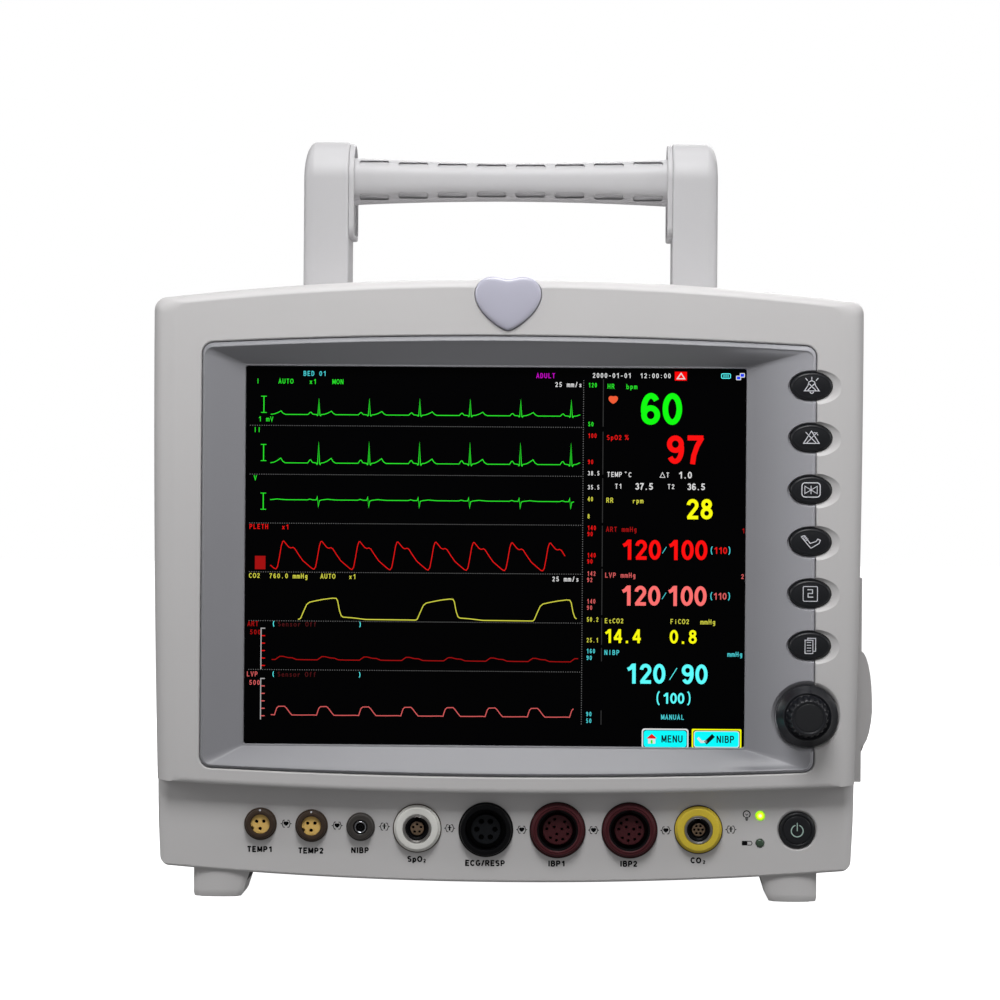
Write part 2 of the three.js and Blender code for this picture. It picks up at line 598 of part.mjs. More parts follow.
add('mains_inlet', portBlock(INLET, INLET_MOUTH), DARK_PLASTIC);
add('network_port', portBlock(NETWORK, NETWORK_MOUTH), STEEL);
add('chassis', box(-150, 120, 28, 30, 56, 280).add(box(-140, 110, 28, 138, 22, 24))
  .add(box(-140, 110, 28, 30, 22, 60)), STEEL);
add('main_board', box(-130, 105, 36, 37.6, 100, 270), BOARD_GREEN);
add('power_supply', box(-140, -30, 45, 95, 130, 250), STEEL);
add('cuff_pump', rod(16, 45, 105, 60, 215), DARK_PLASTIC);
add('speaker', turned([[0, 110], [14, 110], [28, 132], [28, 138], [0, 138]], 60, 70), DARK_PLASTIC);

// ---- Frame of the exported part -------------------------------------------------------------------

const centreX = (RECORDER.door.domeX - BODY.halfWidth) / 2;
const centreY = (REAR_FACE - KNOB.proud) / 2;
monitor.position.set(-centreX, -centreY, 0);
monitor.updateMatrixWorld(true);

export default monitor;
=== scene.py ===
"""Looks of the bedside patient monitor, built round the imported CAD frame.

Design coordinates are millimetres with x = 0 on the body's centre line, y = 0 on the front face and
z = 0 on the table. world() turns them into the frame's metres.
"""
import json
import math

import bmesh
import bpy
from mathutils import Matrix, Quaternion, Vector

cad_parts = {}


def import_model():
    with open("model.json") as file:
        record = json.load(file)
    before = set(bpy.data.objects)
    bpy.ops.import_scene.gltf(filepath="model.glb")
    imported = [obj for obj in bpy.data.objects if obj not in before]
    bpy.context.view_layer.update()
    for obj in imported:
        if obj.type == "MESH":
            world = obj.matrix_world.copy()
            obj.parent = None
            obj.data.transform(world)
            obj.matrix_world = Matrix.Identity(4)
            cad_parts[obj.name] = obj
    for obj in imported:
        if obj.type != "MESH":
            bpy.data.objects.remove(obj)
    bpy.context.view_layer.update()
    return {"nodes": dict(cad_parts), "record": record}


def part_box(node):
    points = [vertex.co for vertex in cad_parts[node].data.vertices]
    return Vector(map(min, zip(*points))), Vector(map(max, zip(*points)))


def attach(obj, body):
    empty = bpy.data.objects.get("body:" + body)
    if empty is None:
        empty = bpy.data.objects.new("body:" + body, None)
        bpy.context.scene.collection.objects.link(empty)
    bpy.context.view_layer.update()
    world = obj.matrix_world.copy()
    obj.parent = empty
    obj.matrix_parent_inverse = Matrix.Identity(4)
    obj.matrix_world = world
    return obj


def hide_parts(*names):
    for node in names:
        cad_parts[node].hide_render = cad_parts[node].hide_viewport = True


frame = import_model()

# ---- Places: the frame's own boxes, in millimetres --------------------------------------------

MM = 0.001
_low, _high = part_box("front_housing")
CENTRE_X = (_low.x + _high.x) / 2
FACE_Y = _low.y


def world(point):
    return Vector((CENTRE_X + point[0] * MM, FACE_Y + point[1] * MM, point[2] * MM))


class Span:
    """A CAD node's box in design millimetres."""

    def __init__(self, node):
        low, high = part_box(node)
        self.x0, self.x1 = (low.x - CENTRE_X) / MM, (high.x - CENTRE_X) / MM
        self.y0, self.y1 = (low.y - FACE_Y) / MM, (high.y - FACE_Y) / MM
        self.z0, self.z1 = low.z / MM, high.z / MM
        self.x, self.y, self.z = (self.x0 + self.x1) / 2, (self.y0 + self.y1) / 2, (self.z0 + self.z1) / 2
        self.wide, self.deep, self.tall = self.x1 - self.x0, self.y1 - self.y0, self.z1 - self.z0


HOUSING = Span("front_housing")
SURROUND = Span("display_surround")
WINDOW = Span("display_window")
LAMP = Span("alarm_lamp")
KEYS = [Span(f"key_{number}") for number in range(1, 7)]
KNOB = Span("control_knob")
POWER = Span("power_button")
GRIP = Span("handle_grip")
ARM = Span("handle_arm_right")
DOOR = Span("recorder_door")

# ---- Driving dimensions of the outlines ---------------------------------------------------------

# The body narrows downwards from its widest height, and its top and bottom edges are bowed.
BODY = {"half": HOUSING.wide / 2 + 0.5, "widest": 290, "taper": 4.4, "span": 275, "top": 305.9,
        "top_radius": 1430, "bottom": 8.7, "bottom_radius": 2000, "top_corner": 6.5, "bottom_corner": 5}
ROUND_SIDE, ROUND_EDGE, ROUND_DEPTH = 12, 5, 12  # the front's rounding: in at the sides and ends, and back
WALL = 3                 # thickness of the front housing
SEAM = 0.35              # gap round a part set into another
FUNNEL = {"top": 277.2, "top_radius": 2680, "bottom": 61.6, "bottom_radius": 3125, "corner": 5.5}
FUNNEL_DEPTH = 8
SCREEN_LAP = 3.9         # how far the window reaches behind the funnel's inner edge
SCREEN = {"left": WINDOW.x0 + SCREEN_LAP, "right": WINDOW.x1 - SCREEN_LAP,
          "bottom": WINDOW.z0 + SCREEN_LAP, "top": WINDOW.z1 - SCREEN_LAP}
PANEL = {"y": 9, "lip": 53.2, "lip_radius": 2900, "lip_round": (1.3, 2.6), "inner_round": 1.2,
         "side_round": 6, "side": 171.8, "foot_round": 1.4}


BODY_OF = {node: body for body, nodes in frame["record"]["behaviour"]["bodies"].items() for node in nodes}


# ---- Outlines -----------------------------------------------------------------------------------

def ellipse(x, z, wide, tall, steps=64):
    turns = (2 * math.pi * i / steps for i in range(steps))
    return [(x + wide / 2 * math.cos(a), z + tall / 2 * math.sin(a)) for a in turns]


def circle(x, z, radius, steps=64):
    return ellipse(x, z, 2 * radius, 2 * radius, steps)


def bowed(left, right, bottom, top, low_corner, high_corner, steps=(40, 14, 8)):
    """Outline with bowed edges and round corners, counter-clockwise from the lower left corner.
    left and right are functions of z, bottom and top are functions of x."""
    along, up, turn = steps
    corners = []
    for sx, sz in ((-1, -1), (1, -1), (1, 1), (-1, 1)):
        side, lid = (left if sx < 0 else right), (bottom if sz < 0 else top)
        radius = low_corner if sz < 0 else high_corner
        x = side(lid(0)) - sx * radius
        corners.append((x, lid(x) - sz * radius, radius))
    points = []
    for k, (x, z, radius) in enumerate(corners):
        for i in range(turn + 1):
            angle = math.pi * (1 + k / 2 + i / turn / 2)
            points.append((x + radius * math.cos(angle), z + radius * math.sin(angle)))
        next_x, next_z, _ = corners[(k + 1) % 4]
        count = along if k % 2 == 0 else up
        for i in range(1, count):
            px, pz = x + (next_x - x) * i / count, z + (next_z - z) * i / count
            points.append(((px, bottom(px)), (right(pz), pz), (px, top(px)), (left(pz), pz))[k])
    return points


def body_outline(side=0.0, top=0.0, bottom=0.0):
    def half(z):
        return BODY["half"] - side - BODY["taper"] * ((BODY["widest"] - z) / BODY["span"]) ** 2
    return bowed(lambda z: -half(z), half, lambda x: body_bottom(x) + bottom, lambda x: body_top(x) - top,
                 BODY["bottom_corner"], BODY["top_corner"])


def body_bottom(x):
    return BODY["bottom"] + x * x / (2 * BODY["bottom_radius"])


def body_top(x):
    return BODY["top"] - x * x / (2 * BODY["top_radius"])


def funnel_outline(grow=0.0, drop=0.0):
    """The funnel's outer outline, larger by grow and with its top edge lower by drop."""
    f = FUNNEL
    return bowed(lambda z: SURROUND.x0 - 0.5 - grow, lambda z: SURROUND.x1 + grow,
                 lambda x: f["bottom"] - grow + x * x / (2 * f["bottom_radius"]),
                 lambda x: f["top"] + grow - drop - x * x / (2 * f["top_radius"]),
                 f["corner"] + grow, f["corner"] + grow)


def screen_outline(grow=0.0, corner=1.2):
    s = SCREEN
    return bowed(lambda z: s["left"] - grow, lambda z: s["right"] + grow,
                 lambda x: s["bottom"] - grow, lambda x: s["top"] + grow, corner, corner)


def rounded(left, right, bottom, top, corner, turn=8):
    return bowed(lambda z: left, lambda z: right, lambda x: bottom, lambda x: top, corner, corner,
                 (2, 2, turn))


def rounded_box(x, z, wide, tall, corner, turn=8, grow=0.0):
    """Outline of a round-cornered rectangle about (x, z), larger by grow on every side."""
    half, rise = wide / 2 + grow, tall / 2 + grow
    return rounded(x - half, x + half, z - rise, z + rise, corner, turn)


def heart_outline(grow=0.0, steps=14):
    """The alarm lamp's heart: a tip, broad shoulders and a shallow dip between two lobes."""
    tip, dip, shoulder, lobe = LAMP.z0 - grow, LAMP.z1 - 1.2 + grow, LAMP.z0 + 17.5, 7.6
    side, top = LAMP.wide / 2 - 0.5 + grow, LAMP.z1 + grow
    curves = (((0, tip), (side / 4, tip + 0.6), (side, shoulder - 8), (side, shoulder)),
              ((side, shoulder), (side, shoulder + 5.5), (lobe + 5, top), (lobe, top)),
              ((lobe, top), (lobe - 3, top), (1.5, dip), (0, dip)))
    right = [(0, tip)]
    for a, b, c, d in curves:
        for i in range(1, steps + 1):
            t = i / steps
            w = ((1 - t) ** 3, 3 * t * (1 - t) ** 2, 3 * t * t * (1 - t), t ** 3)
            right.append(tuple(sum(k * p[n] for k, p in zip(w, (a, b, c, d))) for n in (0, 1)))
    return right + [(-x, z) for x, z in reversed(right[1:-1])]


def mix(a, b, t):
    return [((1 - t) * p[0] + t * q[0], (1 - t) * p[1] + t * q[1]) for p, q in zip(a, b)]


# ---- Meshes -------------------------------------------------------------------------------------

def ring(points, y):
    return [(x, y, z) for x, z in points]


def side_ring(points, x):
    """An outline in y and z as a ring at x."""
    return [(x, y, z) for y, z in points]


def loft(rings, looped=False):
    """Vertices and faces of a tube through rings of equal length; an open tube is capped."""
    count = len(rings[0])
    vertices = [point for one in rings for point in one]
    faces = []
    for r in range(len(rings) if looped else len(rings) - 1):
        a, b = r * count, (r + 1) % len(rings) * count
        faces += [(a + i, a + (i + 1) % count, b + (i + 1) % count, b + i) for i in range(count)]
    if not looped:
        faces += [tuple(range(count))[::-1], tuple(range(len(vertices) - count, len(vertices)))]
    return vertices, faces


AXIS = 1e-5  # a turned shape's smallest radius: small enough for its end to close into one point


def lathe(profile, x, z, steps=64, looped=False):
    """A turned shape about a line along Y through (x, z). profile points are (radius, y)."""
    return loft([ring(circle(x, z, max(radius, AXIS), steps), y) for radius, y in profile], looped)


def side_lathe(profile, y, z, steps=48):
    """A turned shape about a line along X. profile points are (radius, x)."""
    return loft([side_ring(circle(y, z, max(radius, AXIS), steps), x) for radius, x in profile])


def side_slot(x0, x1, y0, y1, z0, z1, corner):
    """A round-cornered bar along X."""
    return loft([side_ring(rounded(y0, y1, z0, z1, corner, 5), x) for x in (x0, x1)])


def block(x0, x1, y0, y1, z0, z1):
    return loft([side_ring([(y0, z0), (y1, z0), (y1, z1), (y0, z1)], x) for x in (x0, x1)])


def shape(name, *parts):
    """An object from one or more lists of vertices and faces, with its normals pointing outwards."""
    vertices, faces = [], []
    for part_vertices, part_faces in parts:
        start = len(vertices)
        vertices += [world(point) for point in part_vertices]
        faces += [tuple(start + i for i in face) for face in part_faces]
    mesh = bpy.data.meshes.new(name)
    mesh.from_pydata(vertices, [], faces)
    build = bmesh.new()
    build.from_mesh(mesh)
    bmesh.ops.remove_doubles(build, verts=build.verts, dist=2e-7)
    bmesh.ops.dissolve_degenerate(build, edges=build.edges, dist=1e-7)
    bmesh.ops.recalc_face_normals(build, faces=build.faces)
    build.to_mesh(mesh)
    build.free()
    piece = bpy.data.objects.new(name, mesh)
    bpy.context.scene.collection.objects.link(piece)
    return piece


def settle(piece):
    """Applies the piece's modifiers to its mesh."""
    graph = bpy.context.evaluated_depsgraph_get()
    mesh = bpy.data.meshes.new_from_object(piece.evaluated_get(graph))
    piece.modifiers.clear()
    old, piece.data = piece.data, mesh
    bpy.data.meshes.remove(old)
    mesh.name = piece.name


def combine(piece, operation, other):
    """Joins other to piece or cuts it out of piece, and removes other."""
    modifier = piece.modifiers.new("combine", "BOOLEAN")
    modifier.operation, modifier.solver, modifier.object = operation, "MANIFOLD", other
    settle(piece)
    bpy.data.objects.remove(other)


def cut(piece, *tools):
    for tool in tools:
        combine(piece, "DIFFERENCE", shape("tool", tool))


def cut_apart(piece, tools):
    """Cuts with many tools at once. They must not touch each other."""
    combine(piece, "DIFFERENCE", shape("tools", *tools))


def finish_piece(piece, material, body="root", stands_for=(), crease=32, weighted=True):
    """Shades, paints and fastens a piece, and hides the nodes it stands for."""
    mesh = piece.data
    mesh.materials.clear()
    mesh.materials.append(material)
    mesh.polygons.foreach_set("use_smooth", [True] * len(mesh.polygons))
    mesh.set_sharp_from_angle(angle=math.radians(crease))
    if weighted:
        modifier = piece.modifiers.new("weighted", "WEIGHTED_NORMAL")
        modifier.keep_sharp = True
        settle(piece)
    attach(piece, body)
    if stands_for:
        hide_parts(*stands_for)


# ---- Materials ----------------------------------------------------------------------------------

def tinted(colour, factor):
    return tuple(min(1, channel * factor) for channel in colour[:3]) + (1,)


def srgb(red, green, blue):
    """A linear colour from 0-255 display values."""
    def linear(value):
        value /= 255
        return value / 12.92 if value <= 0.04045 else ((value + 0.055) / 1.055) ** 2.4
    return linear(red), linear(green), linear(blue)


class Nodes:
    """Adds nodes to the tree of a material or a world."""

    def __init__(self, owner):
        owner.use_nodes = True
        self.tree = owner.node_tree

    def feed(self, node, inputs):
        """Sets each named input, or links it where an output is given."""
        for name, value in inputs.items():
            if isinstance(value, bpy.types.NodeSocket):
                self.tree.links.new(value, node.inputs[name])
            else:
                node.inputs[name].default_value = value

    def add(self, kind, inputs=None, output=0, **settings):
        """A new node with its settings and inputs, given back as one of its outputs."""
        node = self.tree.nodes.new(f"ShaderNode{kind}")
        for name, value in settings.items():
            setattr(node, name, value)
        self.feed(node, inputs or {})
        return node.outputs[output]


def surface(name, colour, roughness, grain=0.5, bump=0.2, mottle=0.04, spread=0.06, metallic=0.0,
            coat=0.0, specular=0.5, streak=(1, 1, 1), glow=0.0, painted_light_ramp=None):
    """A moulded, turned or printed surface: a slow drift of colour and roughness over fine grain.
    grain is the grain's size and streak stretches it, as brushing does. fade gives two places along X in
    design millimetres and how much paler the surface is painted at the second than at the first, as painted
    light standing in for light that falls on it."""
    material = bpy.data.materials.new(name)
    nodes = Nodes(material)
    shader = material.node_tree.nodes["Principled BSDF"]
    place = nodes.add("TexCoord", output="Object")
    drift = nodes.add("TexNoise", {"Vector": place, "Scale": 28, "Detail": 3}, "Fac")
    stretched = nodes.add("Mapping", {"Vector": place, "Scale": streak})
    fine = nodes.add("TexNoise", {"Vector": stretched, "Scale": 1 / (grain * MM), "Detail": 2}, "Fac")
    blend = nodes.add("Math", {0: fine, 1: 0.35, 2: drift}, operation="MULTIPLY_ADD")
    ramp = nodes.add("MapRange", {"Value": blend, "From Min": 0.4, "From Max": 0.95})
    tints = {"A": tinted(colour, 1 - mottle), "B": tinted(colour, 1 + mottle)}
    paint = nodes.add("Mix", {**tints, "Factor": ramp}, "Result", data_type="RGBA")
    base = paint
    # Painted light: the base colour is painted paler along X, standing in for light the surface catches.
    if painted_light_ramp:
        start, end, gain = painted_light_ramp
        along = nodes.add("SeparateXYZ", {"Vector": place}, "X")
        painted_paler = nodes.add("MapRange", {"Value": along, "From Min": CENTRE_X + start * MM,
                                       "From Max": CENTRE_X + end * MM, "To Min": 1, "To Max": gain})
        base = nodes.add("VectorMath", {0: paint, "Scale": painted_paler}, operation="SCALE")
    gloss = nodes.add("MapRange", {"Value": fine, "To Min": roughness - spread, "To Max": roughness + spread})
    nodes.feed(shader, {"Base Color": base, "Roughness": gloss, "Metallic": metallic,
                        "Specular IOR Level": specular, "Coat Weight": coat, "Coat Roughness": 0.12})
    if bump:
        relief = nodes.add("Bump", {"Strength": bump, "Distance": grain * MM * 0.25, "Height": fine})
        nodes.feed(shader, {"Normal": relief})
    if glow:
        nodes.feed(shader, {"Emission Color": paint, "Emission Strength": glow})
    return material


HOUSING_GREY = surface("housing_grey", srgb(214, 212, 212), 0.5, grain=0.45, bump=0.22, mottle=0.012)
HANDLE_GREY = surface("handle_grey", srgb(198, 197, 199), 0.48, grain=0.45, bump=0.18, mottle=0.012)
# The funnel is painted paler on its right-hand slope towards the seam: painted light, standing in for the
# light that the flatter outer part of the slope catches.
FUNNEL_GREY = surface("funnel_grey", srgb(147, 147, 152), 0.42, grain=0.35, bump=0.12, mottle=0.015,
                      painted_light_ramp=(SCREEN["right"] + 4, SURROUND.x1 - 1, 1.5))
SCREEN_BLACK = surface("screen_black", srgb(1, 1, 2), 0.2, grain=0.3, bump=0.02, mottle=0.2, specular=0.06)
LAMP_LENS = surface("lamp_lens", srgb(198, 197, 213), 0.3, grain=0.9, bump=0.0, mottle=0.006, spread=0.02,
                    coat=0.35)
KEY_BLACK = surface("key_black", srgb(27, 28, 32), 0.36, grain=0.3, bump=0.3, mottle=0.08, specular=0.4)
KNOB_BLACK = surface("knob_black", srgb(27, 28, 33), 0.3, grain=0.3, bump=0.12, mottle=0.08)
KNOB_TOP = surface("knob_top", srgb(24, 25, 29), 0.55, grain=0.25, bump=0.3, mottle=0.08)
DARK_PLASTIC = surface("dark_plastic", srgb(30, 30, 32), 0.45, grain=0.3, bump=0.2, mottle=0.08)
SOCKET_BLACK = surface("socket_black", srgb(7, 7, 9), 0.34, grain=0.3, bump=0.18, mottle=0.1, specular=0.16)
SOCKET_BROWN = surface("socket_brown", srgb(66, 52, 42), 0.5, grain=0.3, bump=0.3, mottle=0.12, specular=0.25)
SOCKET_CUFF = surface("socket_cuff", srgb(62, 58, 55), 0.5, grain=0.3, bump=0.3, mottle=0.1)
SOCKET_WHITE = surface("socket_white", srgb(232, 231, 226), 0.4, grain=0.3, bump=0.15, mottle=0.05)
SOCKET_MAROON = surface("socket_maroon", srgb(78, 34, 39), 0.42, grain=0.3, bump=0.2, mottle=0.1,
                        specular=0.2)
SOCKET_YELLOW = surface("socket_yellow", srgb(222, 196, 58), 0.42, grain=0.5, bump=0.25, mottle=0.14)
# Black for the plugs in the sockets' contact holes: painted shade for their depth.
PAINTED_HOLE_SHADE = surface("painted_hole_shade", srgb(3, 3, 3), 0.7, mottle=0.2, specular=0.05)
GOLD = surface("gold_contact", srgb(255, 208, 118), 0.5, grain=0.25, bump=0.5, mottle=0.08, metallic=0.0)
BRIGHT_METAL = surface("bright_metal", srgb(196, 197, 202), 0.25, grain=0.3, bump=0.1, mottle=0.05,
                       metallic=1, streak=(1, 6, 1))
SHADED_METAL = surface("shaded_metal", srgb(178, 176, 174), 0.3, grain=0.3, bump=0.1, mottle=0.06,
                       metallic=1)
SHEET_STEEL = surface("sheet_steel", srgb(178, 180, 183), 0.36, grain=0.3, bump=0.15, mottle=0.05,
                      metallic=1, streak=(0.2, 1, 4))
BRASS = surface("brass", srgb(204, 168, 92), 0.32, grain=0.3, bump=0.1, mottle=0.06, metallic=1)
PLUG_GREY = surface("plug_grey", srgb(176, 176, 178), 0.5, grain=0.4, bump=0.2, mottle=0.04)
BOARD_GREEN = surface("board_green", srgb(30, 82, 52), 0.4, grain=0.8, bump=0.2, mottle=0.18)
# Rubber for the pads, the platen roller and the vent screens; the same dark finish is also the painted shade
# on the front feet's inner sides.
RUBBER_AND_PAINTED_SHADE = surface("rubber", srgb(26, 26, 27), 0.75, grain=0.3, bump=0.3, mottle=0.1)
PAPER = surface("paper", srgb(244, 242, 236), 0.85, grain=0.15, bump=0.2, mottle=0.02)
ICON_GREY = surface("icon_grey", srgb(232, 233, 240), 0.5, grain=0.2, bump=0.1, mottle=0.04)
ICON_TEAL = surface("icon_teal", srgb(186, 214, 204), 0.5, grain=0.2, bump=0.1, mottle=0.04)
PRINT_BLACK = surface("print_black", srgb(8, 8, 11), 0.5, grain=0.2, bump=0.1, mottle=0.1, specular=0.1)
LED_LIT = surface("led_lit", srgb(168, 236, 4), 0.3, grain=0.4, mottle=0.05, glow=0.8)
LED_HALO = surface("led_halo", srgb(222, 255, 40), 0.3, grain=0.4, mottle=0.03, glow=1.0)
LED_CORE = surface("led_core", srgb(255, 255, 170), 0.3, grain=0.4, mottle=0.02, glow=1.2)
LED_DARK = surface("led_dark", srgb(62, 84, 66), 0.2, grain=0.4, mottle=0.1, coat=0.5)


# ---- Front housing --------------------------------------------------------------------------------

def lip_section(x):
    """Section in y and z of the set-back below the lip at x; the set-back's own sides are rounded."""
    turn = PANEL["side_round"]
    beyond = min(1.0, max(0.0, abs(x) - (PANEL["side"] - turn)) / turn)
    depth = PANEL["y"] + turn * (1 - math.sqrt(max(0.0, 1 - beyond * beyond)))
    lip = PANEL["lip"] + x * x / (2 * PANEL["lip_radius"])
    nose_y, nose_z = PANEL["lip_round"]
    inner, foot, base = PANEL["inner_round"], PANEL["foot_round"], body_bottom(x) - 0.02
    quarter = [math.pi / 2 * i / 8 for i in range(9)]
    points = [(-4, lip + nose_z + 2)]
    points += [(nose_y - nose_y * math.cos(a), lip + nose_z - nose_z * math.sin(a)) for a in quarter]
    points += [(depth - inner + inner * math.sin(a), lip + 0.4 - inner + inner * math.cos(a))
               for a in quarter]
    points += [(depth + foot - foot * math.cos(a), base + foot - foot * math.sin(a)) for a in quarter]
    return points + [(depth + foot, base - 6), (-4, base - 6)]


def lip_tool():
    straight = PANEL["side"] - PANEL["side_round"]
    turned = [straight + PANEL["side_round"] * math.sin(math.pi / 2 * i / 10) for i in range(1, 10)]
    turned += [PANEL["side"], PANEL["side"] + 20]
    inside = [straight * i / 24 for i in range(-24, 25)]
    return loft([side_ring(lip_section(x), x) for x in [-x for x in reversed(turned)] + inside + turned])


def flared(outline, mouth_y, depth, flare, gap=SEAM):
    """A straight-walled cutter with a rounded mouth. outline(grow) gives its section."""
    rings = [ring(outline(gap + flare), mouth_y - 4)]
    for i in range(5):
        a = math.pi / 2 * i / 4
        rings.append(ring(outline(gap + flare * (1 - math.sin(a))), mouth_y + flare * (1 - math.cos(a))))
    rings.append(ring(outline(gap), mouth_y + depth))
    return loft(rings)


def round_hole(x, z, radius, mouth_y, depth, flare=0.35, gap=0.25):
    return flared(lambda grow: circle(x, z, radius + grow), mouth_y, depth, flare, gap)


SLOPE_DEPTH = FUNNEL_DEPTH - 0.75
SLOPE_CURVE = 1.55  # how the right-hand slope steepens from the seam to the screen


def slope_y(x):
    """Depth of the scoops' edges on the funnel's right-hand slope at x."""
    share = max(0.0, SURROUND.x1 - 2 - x) / (SURROUND.x1 - 2 - SCREEN["right"] - 0.9)
    return SLOPE_DEPTH * share ** SLOPE_CURVE + 0.75 - 0.65 * share


CAP = {"wide": 20.4, "tall": 13.7, "shift": -0.7, "gap": 0.3}
DISH = {"wide": 27.0, "tall": 17.2, "shift": 1.4, "depth": 1.3, "collar": (22.6, 16.0, 0.9)}


def key_dish(key, on_slope):
    """The scoop round a key, following the face or the funnel's slope, and the key's own hole."""
    x, gap = key.x + CAP["shift"], 2 * CAP["gap"]
    inner = ellipse(x, key.z, CAP["wide"] + gap, CAP["tall"] + gap, 96)
    if on_slope:
        wide, tall, depth = DISH["collar"]
        outer = ellipse(x - 0.1, key.z - 0.3, wide, tall, 96)
    else:
        outer, depth = ellipse(x + DISH["shift"], key.z - 0.5, DISH["wide"], DISH["tall"], 96), DISH["depth"]

    def at(points, sink):
        return [(px, (slope_y(px) if on_slope else 0) + sink, pz) for px, pz in points]
    rings = [at(mix(outer, inner, -0.05), -4), at(mix(outer, inner, -0.05), -0.02)]
    for i in range(10):
        t = i / 9
        rings.append(at(mix(outer, inner, t), 0.03 + depth * (0.6 * t + 0.4 * math.sin(math.pi / 2 * t))))
    rings.append(ring(inner, 20))
    return loft(rings)


def knob_dish(on_slope):
    profile = [(17.4, -4), (17.4, -0.02), (17.1, 0.06), (16.7, 0.3), (16.2, 0.7), (15.8, 1.05), (15.65, 1.4),
               (15.6, 2.1), (4, 2.1)]
    rings = []
    for radius, y in profile:
        points = circle(KNOB.x, KNOB.z, radius, 96)
        rings.append([(x, (slope_y(x) if on_slope else 0) + y, z) for x, z in points])
    rings.append(ring(circle(KNOB.x, KNOB.z, 4.8, 96), 16))
    return loft(rings)


SOCKET_NAMES = ("temperature_1", "temperature_2", "cuff", "oximeter", "ecg", "pressure_1", "pressure_2",
                "gas")
SOCKETS = {name: Span(f"socket_{name}") for name in SOCKET_NAMES}
LEDS = {name: Span(name) for name in ("power_led", "battery_led")}


# The groove round the funnel: the housing's rounded shoulder, then a tight seam.
GROOVE = [(1.25, -3), (1.25, -0.01), (1.05, 0.03), (0.75, 0.16), (0.5, 0.42), (0.38, 0.8), (0.35, 1.3),
          (0.3, 1.35), (0.3, WINDOW.y0)]


def front_housing():
    steps = 8
    rings = []
    for i in range(steps + 1):
        a = math.pi / 2 * i / steps
        inset = 1 - math.sin(a)
        rings.append(ring(body_outline(ROUND_SIDE * inset, ROUND_EDGE * inset, ROUND_EDGE * inset),
                          ROUND_DEPTH * (1 - math.cos(a))))
    back = HOUSING.y1
    rings += [ring(body_outline(), back - 0.8), ring(body_outline(0.25, 0.25, 0.25), back - 0.2),
              ring(body_outline(0.9, 0.9, 0.9), back)]
    body = shape("front_housing_shell", loft(rings))
    ledge = WINDOW.y0 + WALL
    inside, deeper = body_outline(WALL + 5, WALL + 2, WALL + 2), body_outline(WALL, WALL, WALL)
    hollow = shape("hollow", loft([ring(inside, WALL), ring(inside, back + 5)]))
    combine(hollow, "UNION", shape("tool", loft([ring(deeper, ROUND_DEPTH + 3), ring(deeper, back + 5)])))
    cut(hollow, loft([ring(funnel_outline(WALL), -1), ring(funnel_outline(WALL), ledge)]),
        block(-200, 200, -1, PANEL["y"] + WALL, -20, 64))
    combine(body, "DIFFERENCE", hollow)
    module = Span("lcd_module")
    cut(body,
        loft([ring(funnel_outline(grow), y) for grow, y in GROOVE]),
        block(module.x0 - 0.5, module.x1 + 0.5, 2, ledge + 3, module.z0 - 0.5, module.z1 + 0.5),
        lip_tool(),
        knob_dish(False),
        flared(heart_outline, 0, ROUND_DEPTH + 2.5, 0.3, 0.3))
    for key in KEYS:
        cut(body, key_dish(key, False))
    cut(body, lathe([(0, 5), (10.4, 5), (10.4, 8.98), (10.1, 9.06), (9.7, 9.35), (9.3, 9.8), (9.1, 10.1),
                     (9.05, 15), (0, 15)], POWER.x, POWER.z, 96))
    for led in LEDS.values():
        cut(body, round_hole(led.x, led.z, led.wide / 2, PANEL["y"], 6, 0.3, 0.2))
    for socket in SOCKETS.values():
        cut(body, round_hole(socket.x, socket.z, socket.wide / 2 - 1.6, PANEL["y"], 6, 0.2, 0.3))
    finish_piece(body, HOUSING_GREY, stands_for=["front_housing"])


def display_surround():
    back = SURROUND.y1
    rim = [(0, 0, back), (0, 0, 1.3), (0, 0, 0.9), (-0.25, 0.1, 0.45), (-0.6, 0.35, 0.0), (-1.0, 0.7, -0.38),
           (-1.2, 0.85, -0.5), (-1.35, 0.9, -0.5), (-1.55, 0.95, -0.35), (-1.9, 1.0, 0.0)]
    rings = [ring(funnel_outline(grow, drop), y) for grow, drop, y in rim]
    outer, edge = funnel_outline(*rim[-1][:2]), screen_outline(0.95)
    for t in (0.1, 0.2, 0.32, 0.45, 0.6, 0.75, 0.88):
        points = []
        for x, z in mix(outer, edge, t):
            curved = min(1.0, max(0.0, (x - SCREEN["right"] + 12) / 12))
            points.append((x, SLOPE_DEPTH * (t + curved * (t ** SLOPE_CURVE - t)), z))
        rings.append(points)
    inner = [(0.95, FUNNEL_DEPTH - 0.75), (0.8, FUNNEL_DEPTH - 0.7), (0.25, FUNNEL_DEPTH - 0.72),
             (0.08, FUNNEL_DEPTH - 0.6), (0, FUNNEL_DEPTH - 0.3), (0, back)]
    rings += [ring(screen_outline(grow), y) for grow, y in inner]
    piece = shape("display_surround_shell", loft(rings, looped=True))
    cut(piece, knob_dish(True))
    for key in KEYS:
        cut(piece, key_dish(key, True))
    finish_piece(piece, FUNNEL_GREY, stands_for=["display_surround"], crease=28)


def window():
    outline = screen_outline(SCREEN_LAP, 2)
    piece = shape("display_glass", loft([ring(outline, WINDOW.y0), ring(outline, WINDOW.y1)]))
    finish_piece(piece, SCREEN_BLACK, stands_for=["display_window"])


